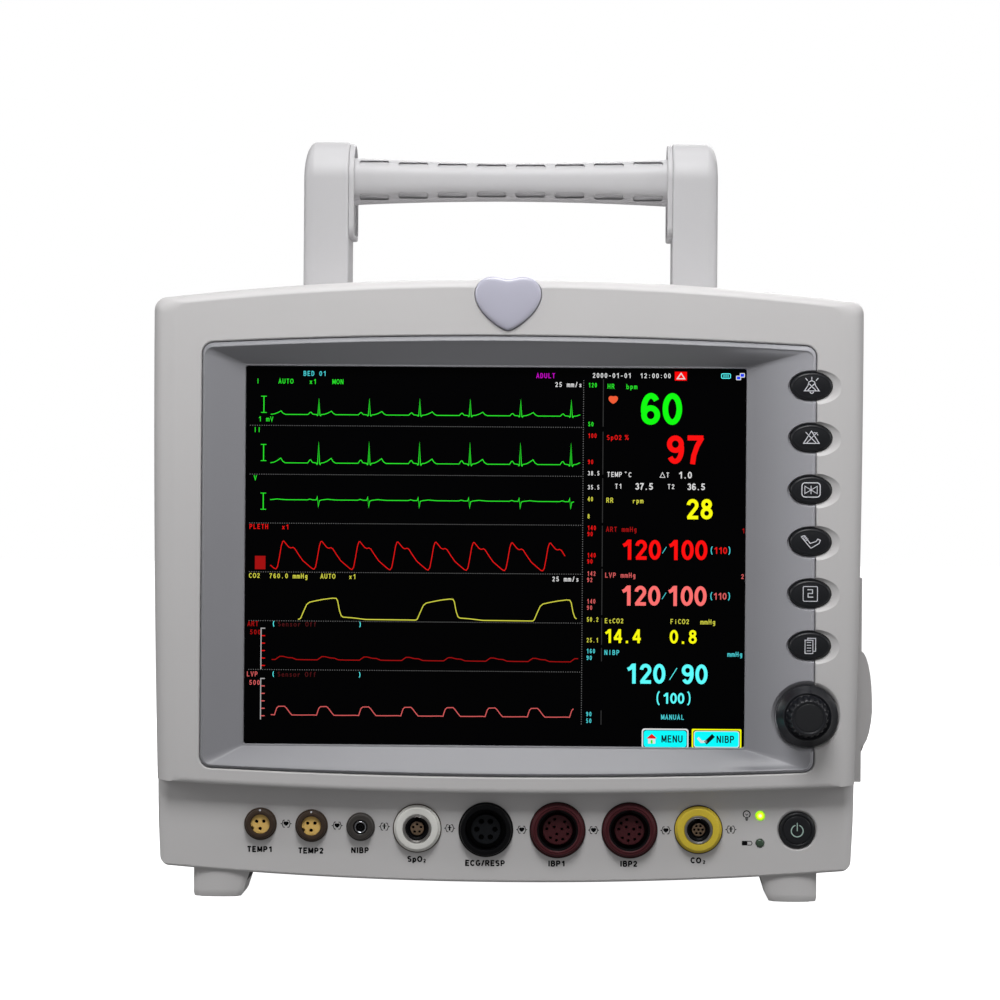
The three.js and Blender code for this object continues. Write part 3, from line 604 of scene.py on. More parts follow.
def alarm_lamp():
    flat = heart_outline()
    middle_z = LAMP.z0 + 0.56 * LAMP.tall
    rings = [ring(flat, LAMP.y1), ring(flat, -0.4)]
    for scale, y in ((0.995, -0.8), (0.98, -1.2), (0.955, -1.55), (0.92, -1.8), (0.86, -2.02), (0.76, -2.2),
                     (0.6, -2.36), (0.4, -2.45), (0.18, -2.49), (0.001, -2.5)):
        rings.append([(x * scale, y, middle_z + (z - middle_z) * scale) for x, z in flat])
    finish_piece(shape("alarm_lamp_lens", loft(rings)), LAMP_LENS, stands_for=["alarm_lamp"], crease=60)


# ---- Keys, knob, power button and indicator lamps ---------------------------------------------------

KEY_FACE = -0.45  # where the caps' flat middles lie


def key_cap(number, key):
    """A low domed cap with a bright-edged rim; its flange is the hidden part of the CAD key."""
    x = key.x + CAP["shift"]

    def oval(inset):
        return ellipse(x, key.z, CAP["wide"] - 2 * inset, CAP["tall"] - 2 * inset, 80)
    flange = ellipse(key.x, key.z, key.wide, key.tall, 80)
    rings = [ring(flange, key.y1), ring(flange, key.y1 - 1.2), ring(oval(0), key.y1 - 1.2)]
    for inset, y in ((0, 1.5), (0.08, 0.95), (0.3, 0.45), (0.7, 0.05), (1.1, -0.12), (1.35, -0.16),
                     (1.6, -0.1), (2.0, -0.16), (2.8, -0.3), (3.8, -0.4), (4.6, KEY_FACE), (6.0, KEY_FACE),
                     (6.7, KEY_FACE)):
        rings.append(ring(oval(inset), y))
    node = f"key_{number}"
    finish_piece(shape(f"key_cap_{number}", loft(rings)), KEY_BLACK, node, [node], crease=50)


def control_knob():
    x, z = KNOB.x, KNOB.z
    flutes, steps = 20, 240

    def section(radius, flute):
        points = []
        for i in range(steps):
            a = 2 * math.pi * i / steps
            r = max(radius, 1e-3) - flute * (0.5 + 0.5 * math.cos(flutes * a)) ** 1.6
            points.append((x + r * math.cos(a), z + r * math.sin(a)))
        return points
    profile = [(15.2, 1.2, 0), (15.25, 1.0, 0), (15.25, 0.4, 0), (15.1, -0.2, 0), (14.8, -0.6, 0),
               (14.2, -1.1, 0), (12.2, -3.7, 0), (11.7, -5.0, 0), (11.3, -5.05, 0), (11.0, -4.8, 0),
               (10.75, -4.7, 0), (10.4, -5.0, 0.05), (10.1, -5.8, 0.5), (9.9, -7.5, 0.75), (9.5, -11.0, 0.75),
               (9.2, -13.4, 0.65), (9.0, -14.2, 0.5), (8.7, -14.7, 0.3), (8.3, -14.95, 0.1), (7.9, -15.0, 0),
               (7.5, -14.9, 0), (7.1, -14.65, 0), (6.7, -14.55, 0)]
    rings = [ring(section(radius, flute), y) for radius, y, flute in profile]
    piece = shape("knob_body", loft(rings))
    cut(piece, lathe([(0, 5), (3.3, 5), (3.3, -10), (0, -10)], x, z, 32))
    finish_piece(piece, KNOB_BLACK, "control_knob", ["control_knob"], crease=40)
    top = shape("knob_top_disc", lathe([(0, -14.2), (6.85, -14.2), (6.95, -14.45), (6.6, -14.7), (5, -14.78),
                                        (0, -14.8)], x, z, 96))
    finish_piece(top, KNOB_TOP, "control_knob")


def power_button():
    radius, crown = POWER.wide / 2, 8.85
    profile = [(0, POWER.y1), (radius, POWER.y1), (radius, POWER.y1 - 1.2), (crown, POWER.y1 - 1.2),
               (crown, 9.6), (8.75, 9.1), (8.45, 8.7), (8.0, 8.45), (7.5, 8.4), (7.2, 8.5), (7.05, 8.75),
               (6.9, 8.75), (6.8, 8.45), (6.5, 8.25), (5.5, 8.15), (4, 8.1), (0, 8.1)]
    finish_piece(shape("power_cap", lathe(profile, POWER.x, POWER.z, 96)), KEY_BLACK, "power_button",
                 ["power_button"], crease=50)


def led(name, material):
    spot = LEDS[name]
    radius = spot.wide / 2
    dome = [(radius * math.cos(a), 8.9 - 0.7 * math.sin(a)) for a in (0.3, 0.6, 0.9, 1.2, 1.4)]
    profile = [(0, spot.y1), (radius, spot.y1), (radius, 8.9)] + dome + [(0, 8.2)]
    finish_piece(shape(f"{name}_lens", lathe(profile, spot.x, spot.z, 48)), material, stands_for=[name],
                 crease=60)


def led_glow():
    """The lit lamp's bright middle, in two steps."""
    spot = LEDS["power_led"]
    for title, size, y, glow in (("halo", 1.55, 8.17, LED_HALO), ("core", 0.85, 8.13, LED_CORE)):
        profile = [(0, 8.6), (size, 8.6), (size, y + 0.06), (size - 0.15, y + 0.01), (0, y)]
        finish_piece(shape(f"power_led_{title}", lathe(profile, spot.x, spot.z, 40)), glow, crease=60)


# ---- Ink: printed symbols, lettering and what the display shows -----------------------------------

class Ink:
    """Collects thin raised shapes of one colour, and becomes one piece."""

    def __init__(self, name, material, y, body="root", thickness=0.05):
        self.name, self.material, self.y, self.body, self.thick = name, material, y, body, thickness
        self.parts = []

    def area(self, points):
        self.parts.append(loft([ring(points, self.y - self.thick), ring(points, self.y)]))

    def line(self, points, width, closed=False, lift=0.0):
        """A stroke through points, with mitred bends, standing higher by lift."""
        if closed and math.dist(points[0], points[-1]) < 1e-6:
            points = points[:-1]
        count = len(points)
        front = self.y - self.thick - lift
        rings = []
        for i, (x, z) in enumerate(points):
            before = points[i - 1] if (i or closed) else points[0]
            after = points[(i + 1) % count] if (i + 1 < count or closed) else points[-1]
            into = unit(x - before[0], z - before[1]) or unit(after[0] - x, after[1] - z)
            out = unit(after[0] - x, after[1] - z) or into
            across = unit(-(into[1] + out[1]), into[0] + out[0]) or (-into[1], into[0])
            spread = width / 2 / max(0.35, across[0] * -into[1] + across[1] * into[0])
            left = x + across[0] * spread, z + across[1] * spread
            right = x - across[0] * spread, z - across[1] * spread
            corners = ((left, front), (right, front), (right, self.y), (left, self.y))
            rings.append([(px, y, pz) for (px, pz), y in corners])
        self.parts.append(loft(rings, closed))

    def words(self, text, x, z, height, align="LEFT", bold=0.0, stretch=1.0, pitch=None):
        """Lettering with its capitals' height and middle at z. pitch sets each letter on an even step."""
        if pitch:
            for i, letter in enumerate(text):
                if letter != " ":
                    self.words(letter, x + (i + 0.5) * pitch, z, height, "CENTER", bold, stretch)
            return
        size = height / (CAP_HEIGHT + 2 * bold)
        vertices, faces = lettering(text, align, bold)
        self.parts.append(([(x + px * size * stretch, self.y - self.thick * (0.5 + pz),
                             z + (py + bold) * size - height / 2) for px, py, pz in vertices], faces))

    def strokes(self, text, x, z, height, weight, pitch=None, stretch=1.0, space=0.14):
        """Bold lettering centred on x and z. weight is the strokes' share of the height."""
        widths = [STROKES[letter][0] for letter in text]
        total = pitch * len(text) if pitch else (sum(widths) + space * (len(text) - 1)) * height * stretch
        left = x - total / 2
        for letter, wide in zip(text, widths):
            start = left + (pitch - wide * height * stretch) / 2 if pitch else left
            for order, points in enumerate(STROKES[letter][1]):
                self.line([(start + px * height * stretch, z + (pz - 0.5) * height) for px, pz in points],
                          weight * height, math.dist(points[0], points[-1]) < 1e-6, order * 0.004)
            left += pitch if pitch else (wide + space) * height * stretch

    def piece(self, slot):
        finish_piece(shape(self.name, *self.parts), self.material, self.body, weighted=False)


def lettering(text, align, bold, made={}):
    """Vertices and faces of solid lettering at size 1, one unit thick, each different text made once."""
    if (text, align, bold) not in made:
        curve = bpy.data.curves.new("lettering", "FONT")
        curve.body, curve.align_x, curve.resolution_u, curve.offset, curve.extrude = text, align, 3, bold, 0.5
        letters = bpy.data.objects.new("lettering", curve)
        bpy.context.scene.collection.objects.link(letters)
        mesh = bpy.data.meshes.new_from_object(letters.evaluated_get(bpy.context.evaluated_depsgraph_get()))
        points, faces = [tuple(v.co) for v in mesh.vertices], [tuple(f.vertices) for f in mesh.polygons]
        made[text, align, bold] = points, faces
        bpy.data.objects.remove(letters)
        bpy.data.curves.remove(curve)
        bpy.data.meshes.remove(mesh)
    return made[text, align, bold]


def bend(x, z, rx, rz, start, end, steps=14):
    """Points on an elliptical arc, angles in degrees."""
    angles = [math.radians(start + (end - start) * i / steps) for i in range(steps + 1)]
    return [(x + rx * math.cos(a), z + rz * math.sin(a)) for a in angles]


STEM = [(0.1, 0), (0.1, 1)]

# Bold lettering drawn as strokes: each letter's width, and its strokes' middle lines, for a height of 1.
STROKES = {
    "0": (0.62, [bend(0.31, 0.5, 0.215, 0.405, 90, 450, 40)]),
    "1": (0.62, [[(0.1, 0.7), (0.24, 0.77), (0.36, 0.93)], [(0.41, 1), (0.41, 0)]]),
    "2": (0.62, [bend(0.305, 0.69, 0.2, 0.215, 178, -38, 18) + [(0.2, 0.22), (0.1, 0.06)],
                 [(0.05, 0.09), (0.58, 0.09)]]),
    "3": (0.62, [bend(0.29, 0.725, 0.18, 0.18, 165, -85), bend(0.29, 0.3, 0.21, 0.21, 88, -165)]),
    "4": (0.62, [[(0.45, 0.97), (0.07, 0.31)], [(0.03, 0.3), (0.61, 0.3)], [(0.45, 1), (0.45, 0)]]),
    "5": (0.62, [[(0.56, 0.91), (0.19, 0.91), (0.13, 0.5)], bend(0.29, 0.32, 0.22, 0.23, 130, -160, 18)]),
    "6": (0.62, [bend(0.32, 0.31, 0.205, 0.215, 0, 360, 30), bend(0.33, 0.47, 0.225, 0.435, 42, 192, 18)]),
    "7": (0.62, [[(0.04, 0.91), (0.59, 0.91)], [(0.54, 0.93), (0.37, 0.62), (0.26, 0.3), (0.22, 0)]]),
    "8": (0.62, [bend(0.31, 0.735, 0.17, 0.175, 0, 360, 30), bend(0.31, 0.3, 0.205, 0.21, 0, 360, 30)]),
    "9": (0.62, [bend(0.3, 0.69, 0.205, 0.215, 0, 360, 30), bend(0.29, 0.53, 0.225, 0.435, 222, 372, 18)]),
    ".": (0.3, [[(0.05, 0.08), (0.21, 0.08)]]),
    "/": (0.42, [[(0.04, -0.02), (0.36, 1.02)]]),
    "A": (0.66, [[(0.04, 0), (0.33, 0.96), (0.62, 0)], [(0.14, 0.33), (0.52, 0.33)]]),
    "D": (0.66, [STEM, [(0.1, 0.925), (0.28, 0.925)] + bend(0.3, 0.5, 0.27, 0.425, 90, -90, 18)
                 + [(0.1, 0.075)]]),
    "F": (0.6, [STEM, [(0.1, 0.925), (0.58, 0.925)], [(0.1, 0.5), (0.5, 0.5)]]),
    "H": (0.68, [STEM, [(0.58, 0), (0.58, 1)], [(0.1, 0.51), (0.58, 0.51)]]),
    "L": (0.6, [[(0.1, 1), (0.1, 0)], [(0.1, 0.075), (0.58, 0.075)]]),
    "V": (0.66, [[(0.04, 1), (0.33, 0.05), (0.62, 1)]]),
    "-": (0.5, [[(0.05, 0.42), (0.45, 0.42)]]),
    ":": (0.3, [[(0.08, 0.15), (0.22, 0.15)], [(0.08, 0.6), (0.22, 0.6)]]),
    "x": (0.56, [[(0.05, 0.02), (0.5, 0.68)], [(0.05, 0.68), (0.5, 0.02)]]),
    "m": (0.76, [[(0.08, 0), (0.08, 0.7)], [(0.38, 0), (0.38, 0.62)], [(0.68, 0), (0.68, 0.62)],
                 [(0.08, 0.63), (0.66, 0.63)]]),
    "g": (0.6, [bend(0.28, 0.37, 0.18, 0.26, 0, 360, 20),
                [(0.47, 0.7), (0.47, -0.1), (0.36, -0.22), (0.1, -0.22)]]),
    "B": (0.66, [STEM,
                 [(0.1, 0.925), (0.34, 0.925)] + bend(0.36, 0.73, 0.16, 0.195, 90, -90) + [(0.1, 0.535)],
                 [(0.3, 0.535)] + bend(0.38, 0.305, 0.18, 0.23, 90, -90) + [(0.1, 0.075)]]),
    "C": (0.7, [bend(0.36, 0.5, 0.28, 0.42, 42, 318, 24)]),
    "E": (0.62, [[(0.58, 0.925), (0.1, 0.925), (0.1, 0.075), (0.6, 0.075)], [(0.1, 0.51), (0.53, 0.51)]]),
    "G": (0.74, [bend(0.37, 0.5, 0.28, 0.42, 46, 318, 24) + [(0.62, 0.42), (0.4, 0.42)]]),
    "I": (0.26, [[(0.13, 0), (0.13, 1)]]),
    "M": (0.8, [STEM, [(0.7, 0), (0.7, 1)], [(0.13, 0.95), (0.4, 0.12)], [(0.67, 0.95), (0.4, 0.12)]]),
    "N": (0.7, [STEM, [(0.6, 0), (0.6, 1)], [(0.13, 0.95), (0.57, 0.05)]]),
    "O": (0.76, [bend(0.38, 0.5, 0.3, 0.42, 0, 360, 36)]),
    "P": (0.64, [STEM, [(0.1, 0.925), (0.34, 0.925)] + bend(0.36, 0.69, 0.19, 0.235, 90, -90)
                 + [(0.1, 0.455)]]),
    "R": (0.68, [STEM,
                 [(0.1, 0.925), (0.36, 0.925)] + bend(0.38, 0.71, 0.18, 0.215, 90, -90) + [(0.1, 0.495)],
                 [(0.34, 0.5), (0.62, 0)]]),
    "S": (0.64, [bend(0.31, 0.715, 0.21, 0.2, 28, 255, 16) + bend(0.33, 0.29, 0.21, 0.21, 78, -152, 16)]),
    "T": (0.62, [[(0.02, 0.925), (0.6, 0.925)], [(0.31, 0), (0.31, 0.9)]]),
    "U": (0.7, [[(0.1, 1), (0.1, 0.35)] + bend(0.35, 0.33, 0.25, 0.255, 180, 360) + [(0.6, 1)]]),
    "p": (0.6, [[(0.1, -0.26), (0.1, 0.7)], bend(0.3, 0.35, 0.185, 0.275, 0, 360, 24)]),
}


CAP_HEIGHT = 0.69  # capitals' height of the built-in font at size 1


def unit(x, z):
    length = math.hypot(x, z)
    return (x / length, z / length) if length > 1e-9 else None



SYMBOL_SCALE = 1.2  # how much larger the keys' symbols are than the millimetres they are drawn in


def key_symbols():
    for number, key in enumerate(KEYS, 1):
        ink = Ink(f"key_symbol_{number}", ICON_GREY, KEY_FACE, f"key_{number}", 0.05)
        x, z = key.x + CAP["shift"], key.z

        def line(points, closed=False, width=0.42):
            ink.line([(x + SYMBOL_SCALE * px, z + SYMBOL_SCALE * pz) for px, pz in points], width, closed)
        if number == 1:  # silenced bell: bell, cross and rays
            line([(-3.0, -2.0), (-1.5, 0.2), (-1.2, 1.6), (0, 2.2), (1.2, 1.6), (1.5, 0.2), (3.0, -2.0)],
                 True)
            line([(-1.6, -1.7), (1.4, 1.2)])
            line([(1.6, -1.7), (-1.4, 1.2)])
            line([(-2.6, 3.2), (-1.7, 2.2)])
            line([(2.6, 3.2), (1.7, 2.2)])
            line([(0, 3.7), (0, 2.6)])
            line(bend(0, -2.3, 0.7, 0.7, 180, 360, 8))
        elif number == 2:  # crossed alarm triangle with a bell behind it
            line([(-3.2, -2.2), (0, 2.8), (3.2, -2.2)], True)
            line([(-1.9, -2.0), (2.3, 2.3)])
            line([(1.9, -2.0), (-2.3, 2.3)])
            line(bend(1.1, 0.6, 1.6, 1.6, 20, 100, 8), width=0.34)
        elif number == 3:  # freeze: framed bow tie
            line(rounded(-3.7, 3.7, -2.9, 2.9, 1.3, 5), True, 0.5)
            line([(-2.5, 1.5), (-2.5, -1.5), (0, 0)], True, 0.36)
            line([(2.5, 1.5), (2.5, -1.5), (0, 0)], True, 0.36)
            line([(0, 1.7), (0, -1.7)])
        elif number == 4:  # forearm with a pressure cuff
            line([(-3.9, 2.1), (-2.6, 2.5), (-0.2, -0.6), (2.2, 0.2), (2.9, 1.2), (3.9, 0.7), (3.4, -0.6),
                  (0.1, -2.6), (-3.9, 2.1)])
            for shift in (-0.6, 0.0, 0.6):
                px, pz = shift * 0.8, shift * 0.9
                line([(-2.6 + px, 0.9 - pz), (-1.5 + px, 1.9 - pz)], width=0.36)
        elif number == 5:  # recorder: framed trace
            line(rounded(-2.9, 2.9, -3.0, 3.0, 0.5, 3), True, 0.4)
            line([(-1.2, 1.7), (0.9, 1.7), (0.9, 0.2), (-0.9, 0.2), (-0.9, -1.3), (1.2, -1.3)], width=0.45)
        else:  # menu: stacked pages
            line([(-2.0, -3.1), (-2.0, 2.3), (1.2, 2.3), (1.2, -3.1)], True, 0.4)
            line([(-0.9, 2.3), (-0.9, 3.1), (2.3, 3.1), (2.3, -2.2), (1.2, -2.2)], width=0.36)
            for row in range(4):
                line([(-1.3, 1.4 - row * 1.15), (0.5, 1.4 - row * 1.15)], width=0.36)
        ink.piece("key_rubber")


def power_symbol():
    ink = Ink("power_symbol", ICON_TEAL, 8.1, "power_button", 0.05)
    x, z = POWER.x, POWER.z
    ink.line([(x + px, z + pz) for px, pz in bend(0, -0.3, 2.9, 2.9, 108, 432, 30)], 0.5)
    ink.line([(x, z - 0.4), (x, z + 3.7)], 0.5)
    ink.piece("key_rubber")


def socket_label(ink, name, text):
    """A socket's name under it; a small 2 follows the two names of gases."""
    spot = SOCKETS[name]
    clearance = {"temperature_1": 4.5, "temperature_2": 4.3, "cuff": 4.6, "oximeter": 3.6, "gas": 3.6}
    below = spot.z - spot.wide / 2 - clearance.get(name, 3.0)
    subscript = {"oximeter": 3.7, "gas": 2.9}.get(name)
    shift = -0.8 if subscript else 0
    ink.strokes(text, spot.x - 0.3 + shift, below, 2.75, 0.26, stretch=1.14, space=0.16)
    if subscript:
        ink.strokes("2", spot.x + subscript, below - 0.8, 1.7, 0.26, stretch=1.1)


def lamp_symbols(ink):
    """A bulb left of the power lamp and a battery cell left of the charge lamp."""
    lamp, cell = LEDS["power_led"], LEDS["battery_led"]
    x = lamp.x - 6.6
    ink.line([(x + px, lamp.z + pz) for px, pz in bend(0, 0.7, 1.7, 1.7, -55, 235, 20)], 0.5)
    for drop, half in ((-0.9, 0.75), (-1.6, 0.75), (-2.2, 0.45)):
        ink.line([(x - half, lamp.z + drop), (x + half, lamp.z + drop)], 0.48)
    ink.line([(x - 0.6, lamp.z + 0.9), (x, lamp.z + 0.2), (x + 0.6, lamp.z + 0.9)], 0.3)
    ink.area(rounded(cell.x - 8.9, cell.x - 6.2, cell.z - 1.1, cell.z + 1.1, 0.2, 2))
    ink.line([(cell.x - 6.2, cell.z + 0.95), (cell.x - 4.4, cell.z + 0.95), (cell.x - 3.8, cell.z),
              (cell.x - 4.4, cell.z - 0.95), (cell.x - 6.2, cell.z - 0.95)], 0.34)


def panel_print():
    ink = Ink("panel_print", PRINT_BLACK, PANEL["y"], thickness=0.06)
    labels = {"temperature_1": "TEMP1", "temperature_2": "TEMP2", "cuff": "NIBP", "oximeter": "SpO",
              "ecg": "ECG/RESP", "pressure_1": "IBP1", "pressure_2": "IBP2", "gas": "CO"}
    for name, text in labels.items():
        socket_label(ink, name, text)
    names = list(SOCKET_NAMES)
    for left, right in zip(names, names[1:] + [None]):
        spot = SOCKETS[left]
        x = (spot.x1 + SOCKETS[right].x0) / 2 if right else spot.x1 + 4.4
        type_symbol(ink, x, spot.z + 0.1, left not in ("cuff", "oximeter", "gas"))
    lamp_symbols(ink)
    ink.piece("housing")


def type_symbol(ink, x, z, heart):
    """Protection class sign: a heart or a figure between two open brackets."""
    bracket_points = ((0.6, 1.75), (1.4, 1.7), (2.0, 0), (1.4, -1.7), (0.6, -1.75))
    for side in (-1, 1):
        ink.line([(x + side * px, z + pz) for px, pz in bracket_points], 0.36)
        ink.line([(x + side * 2.0, z), (x + side * 2.7, z)], 0.36)
    if heart:
        scale, middle = 0.082, LAMP.z0 + LAMP.tall / 2
        ink.area([(x + scale * px, z + scale * (pz - middle)) for px, pz in heart_outline(0, 3)])
    else:
        ink.line([(x, z - 1.2), (x, z + 0.8)], 0.75)
        ink.line([(x - 0.95, z + 0.3), (x + 0.95, z + 0.3)], 0.4)
        ink.area(ellipse(x, z + 1.15, 0.85, 0.85, 12))


# ---- What the display shows ---------------------------------------------------------------------------

# u runs right and v down from the upper left corner of what shows, in millimetres.
CELL, CAPITAL = 1.95, 2.45       # the small lettering's even step and the height of its capitals
TRACK = 24.1                     # height of one trace's track
TRACKS_TOP = 29.1                # the lowest edge of the first track
WAVES = (12.2, 165.0)            # where the traces start and end
LIMITS_U, LIMITS_CELL = 168.6, 1.55
BEAT = 24.9                      # one heart beat along the traces
LAYER = 0.03


def glowing(name, colour):
    """A dark surface that shines with a colour that drifts a little."""
    material = surface(name, (0.004, 0.004, 0.004), 0.5, grain=0.3, bump=0, mottle=0.1, specular=0.1)
    nodes = Nodes(material)
    named = material.node_tree.nodes
    tint = nodes.add("Mix", {"A": tinted(colour, 0.94), "B": tinted(colour, 1.04),
                             "Factor": named["Map Range"].outputs["Result"]}, "Result", data_type="RGBA")
    nodes.feed(named["Principled BSDF"], {"Emission Color": tint, "Emission Strength": 1})
    return material


class Display:
    """Ink of many colours on the display, placed by u and v."""

    def __init__(self):
        self.inks, self.materials = {}, {}

    def ink(self, name, layer=0):
        """The ink of one colour. A higher layer stands in front of a lower one."""
        if (name, layer) not in self.inks:
            if name not in self.materials:
                self.materials[name] = glowing(f"display_{name}", srgb(*DISPLAY_COLOURS[name]))
            self.inks[name, layer] = Ink(f"display_{name}_{layer}", self.materials[name],
                                         WINDOW.y0 - LAYER * layer, thickness=LAYER)
        return self.inks[name, layer]

    def at(self, u, v):
        return SCREEN["left"] + u, SCREEN["top"] - v

    def line(self, name, points, width=0.3, closed=False, layer=0):
        self.ink(name, layer).line([self.at(u, v) for u, v in points], width, closed)

    def area(self, name, points, layer=0):
        self.ink(name, layer).area([self.at(u, v) for u, v in points])

    def small(self, name, text, u, v, cell=CELL, height=CAPITAL):
        x, z = self.at(u, v)
        for i, letter in enumerate(text):
            place = x + (i + 0.5) * cell
            if letter in STROKES:
                self.ink(name).strokes(letter, place, z, height, 0.15, stretch=0.88 * cell / CELL)
            elif letter != " ":
                self.ink(name).words(letter, place, z, height, "CENTER", 0.012, 0.9 * cell / CELL)

    def number(self, name, text, u, v, height, step=0.68):
        """Bold figures on an even step, centred on u."""
        x, z = self.at(u, v)
        self.ink(name).strokes(text, x, z, height, 0.175, step * height)

    def brackets(self, name, u0, u1, v, height):
        bow, angles = 0.2 * height, [math.radians(10 * i) for i in range(-8, 9)]
        for u, side in ((u0, 1), (u1, -1)):
            points = [(u + side * bow * (1 - math.cos(a)), v + height / 2 * math.sin(a)) for a in angles]
            self.line(name, points, 0.09 * height + 0.1)

    def pieces(self):
        for ink in self.inks.values():
            ink.piece("screen")


DISPLAY_COLOURS = {"green": (38, 232, 40), "green_figures": (0, 255, 0), "red": (228, 12, 10),
                   "red_figures": (255, 0, 0), "deep_red": (160, 4, 4), "dim_red": (72, 8, 12),
                   "pink": (214, 92, 92), "pink_figures": (255, 112, 110), "yellow": (212, 212, 70),
                   "yellow_figures": (255, 255, 0), "white": (222, 222, 222), "grey": (104, 104, 104),
                   "dark_grey": (44, 44, 44), "light_grey": (168, 168, 168), "cyan": (74, 208, 214),
                   "cyan_figures": (92, 255, 255), "cyan_button": (0, 250, 255), "magenta": (200, 0, 200),
                   "blue": (20, 60, 250), "black": (2, 2, 3), "orange": (240, 90, 50)}


HEART_PEAK = 36.0  # where the first beat's peak stands


def heartbeats(level, parts):
    """A trace of beats, each made of steps and bumps: (offset from the beat's peak, height)."""
    start, end = WAVES
    points = []
    peak = HEART_PEAK - BEAT
    while peak < end + BEAT:
        points += [(peak + offset, level - height) for offset, height in parts]
        peak += BEAT
    inside = [p for p in points if start < p[0] < end]
    return [(start, inside[0][1])] + inside


def pulses(pitch, parts, first, level, end):
    """A trace of pulses a pitch apart, cut off where the traces start and end."""
    points = []
    left = first - pitch
    while left < end:
        points += [(left + offset, level - height) for offset, height in parts]
        left += pitch
    return [p for p in points if WAVES[0] <= p[0] <= end]


def traces(show):
    ecg = [(-5.4, 0), (-4.4, 1.1), (-3.9, 1.2), (-3.0, 0.2), (-1.1, 0), (-0.8, -0.5), (-0.5, -0.3), (0, 1),
           (0.5, -0.3), (0.8, -0.6), (1.2, 0), (2.8, 0.2), (4.4, 0.8), (6.2, 1.8), (7.2, 0.6), (8.4, 0)]
    for level, tall, wave in ((23.8, 7.8, 0.95), (47.7, 10.4, 1.3)):
        points = [(offset, tall if offset == 0 else height * wave) for offset, height in ecg]
        show.line("green", heartbeats(level, points), 0.42)
    small_beats = [(-5.4, 0), (-4.2, 0.4), (-2.8, 0), (-1.0, 0), (-0.5, 1.5), (0, -3.4), (0.5, -0.4),
                   (1.6, 0), (4.6, 0.35), (7.4, 0.1), (9, 0)]
    show.line("green", heartbeats(65.9, small_beats), 0.42)
    pleth = [(0, 0), (0.8, 1.2), (1.7, 6), (2.6, 11.5), (3.3, 13.6), (3.8, 13.8), (4.8, 12.6), (6.2, 10.9),
             (7.2, 10.4), (8.3, 10.7), (9.2, 10.2), (11, 7.4), (13.2, 4.3), (16, 1.9), (17.8, 0.4)]
    breath = [(0, 0), (0.7, 0.5), (2.0, 3.6), (3.6, 7.2), (5.0, 8.4), (8, 9.1), (12, 9.9), (16.5, 10.5),
              (18.2, 10.4), (18.9, 9.2), (19.8, 4.6), (20.7, 1.9), (21.6, 1.2), (27, 0.8), (33, 0.1), (57, 0)]
    low = [(0, 0), (0.9, 0.7), (2.2, 1.6), (3.8, 1.6), (6.3, 1.0), (8.4, 0.9), (10.4, 0.1), (14, 0), (19, 0)]
    ventricle = [(0, 0), (0.6, 2), (1.1, 3.4), (1.9, 4.2), (4.9, 4.3), (5.8, 3.5), (7.6, 1.1), (8.6, 0),
                 (14, 0), (19, 0.1)]
    for name, parts, pitch, first, level, end, width in (
            ("red", pleth, 18.8, 15.3, 100.1, 159.4, 0.42),
            ("yellow", breath, 57.6, 27.0, 124.8, 164.5, 0.46),
            ("deep_red", low, 20.8, 15.3, 144.8, 165, 0.42),
            ("pink", ventricle, 20.8, 15.1, 172.1, 165, 0.44)):
        show.line(name, pulses(pitch, parts, first, level, end), width)


def dots(show, u, v, wide, tall):
    show.area("grey", [(u, v), (u + wide, v), (u + wide, v + tall), (u, v + tall)])

def tracks(show):
    for row in range(6):
        for i in range(143):
            dots(show, 2 + i * 1.15, TRACKS_TOP + TRACK * row, 0.45, 0.35)
    for i in range(148):
        dots(show, 166.3, 6 + i * 1.15, 0.4, 0.45)
    for top, bottom in ((5.5, 28.8), (31.3, 52.4), (54.2, 76.2), (77.6, 97.8), (98.8, 121.6), (123.0, 136.2),
                        (137.8, 144.4), (168.6, 175.6)):
        show.line("dark_grey", [(176.2, top), (176.2, bottom)], 0.45)
    for top in (14.9, 38.7, 62.7):
        for v in (top, top + 8):
            show.line("green", [(7.4, v), (10.2, v)], 0.38)
        show.line("green", [(8.8, top), (8.8, top + 8)], 0.5)
    for top, name in ((129.4, "red"), (154.2, "pink")):
        show.line("light_grey", [(10.2, top), (8.2, top), (8.2, top + 20.2)], 0.5)
        for i in range(1, 6):
            show.line(name, [(8.3, top + 3.68 * i), (10.2, top + 3.68 * i)], 0.5)
    show.area("deep_red", [(4.9, 93.7), (10.1, 93.7), (10.1, 100.3), (4.9, 100.3)])
    for v in (127.2, 152.0):
        show.brackets("cyan_figures", 14.2, 57.2, v, 2.6)
        show.small("dim_red", "Sensor Off", 16.2, v)


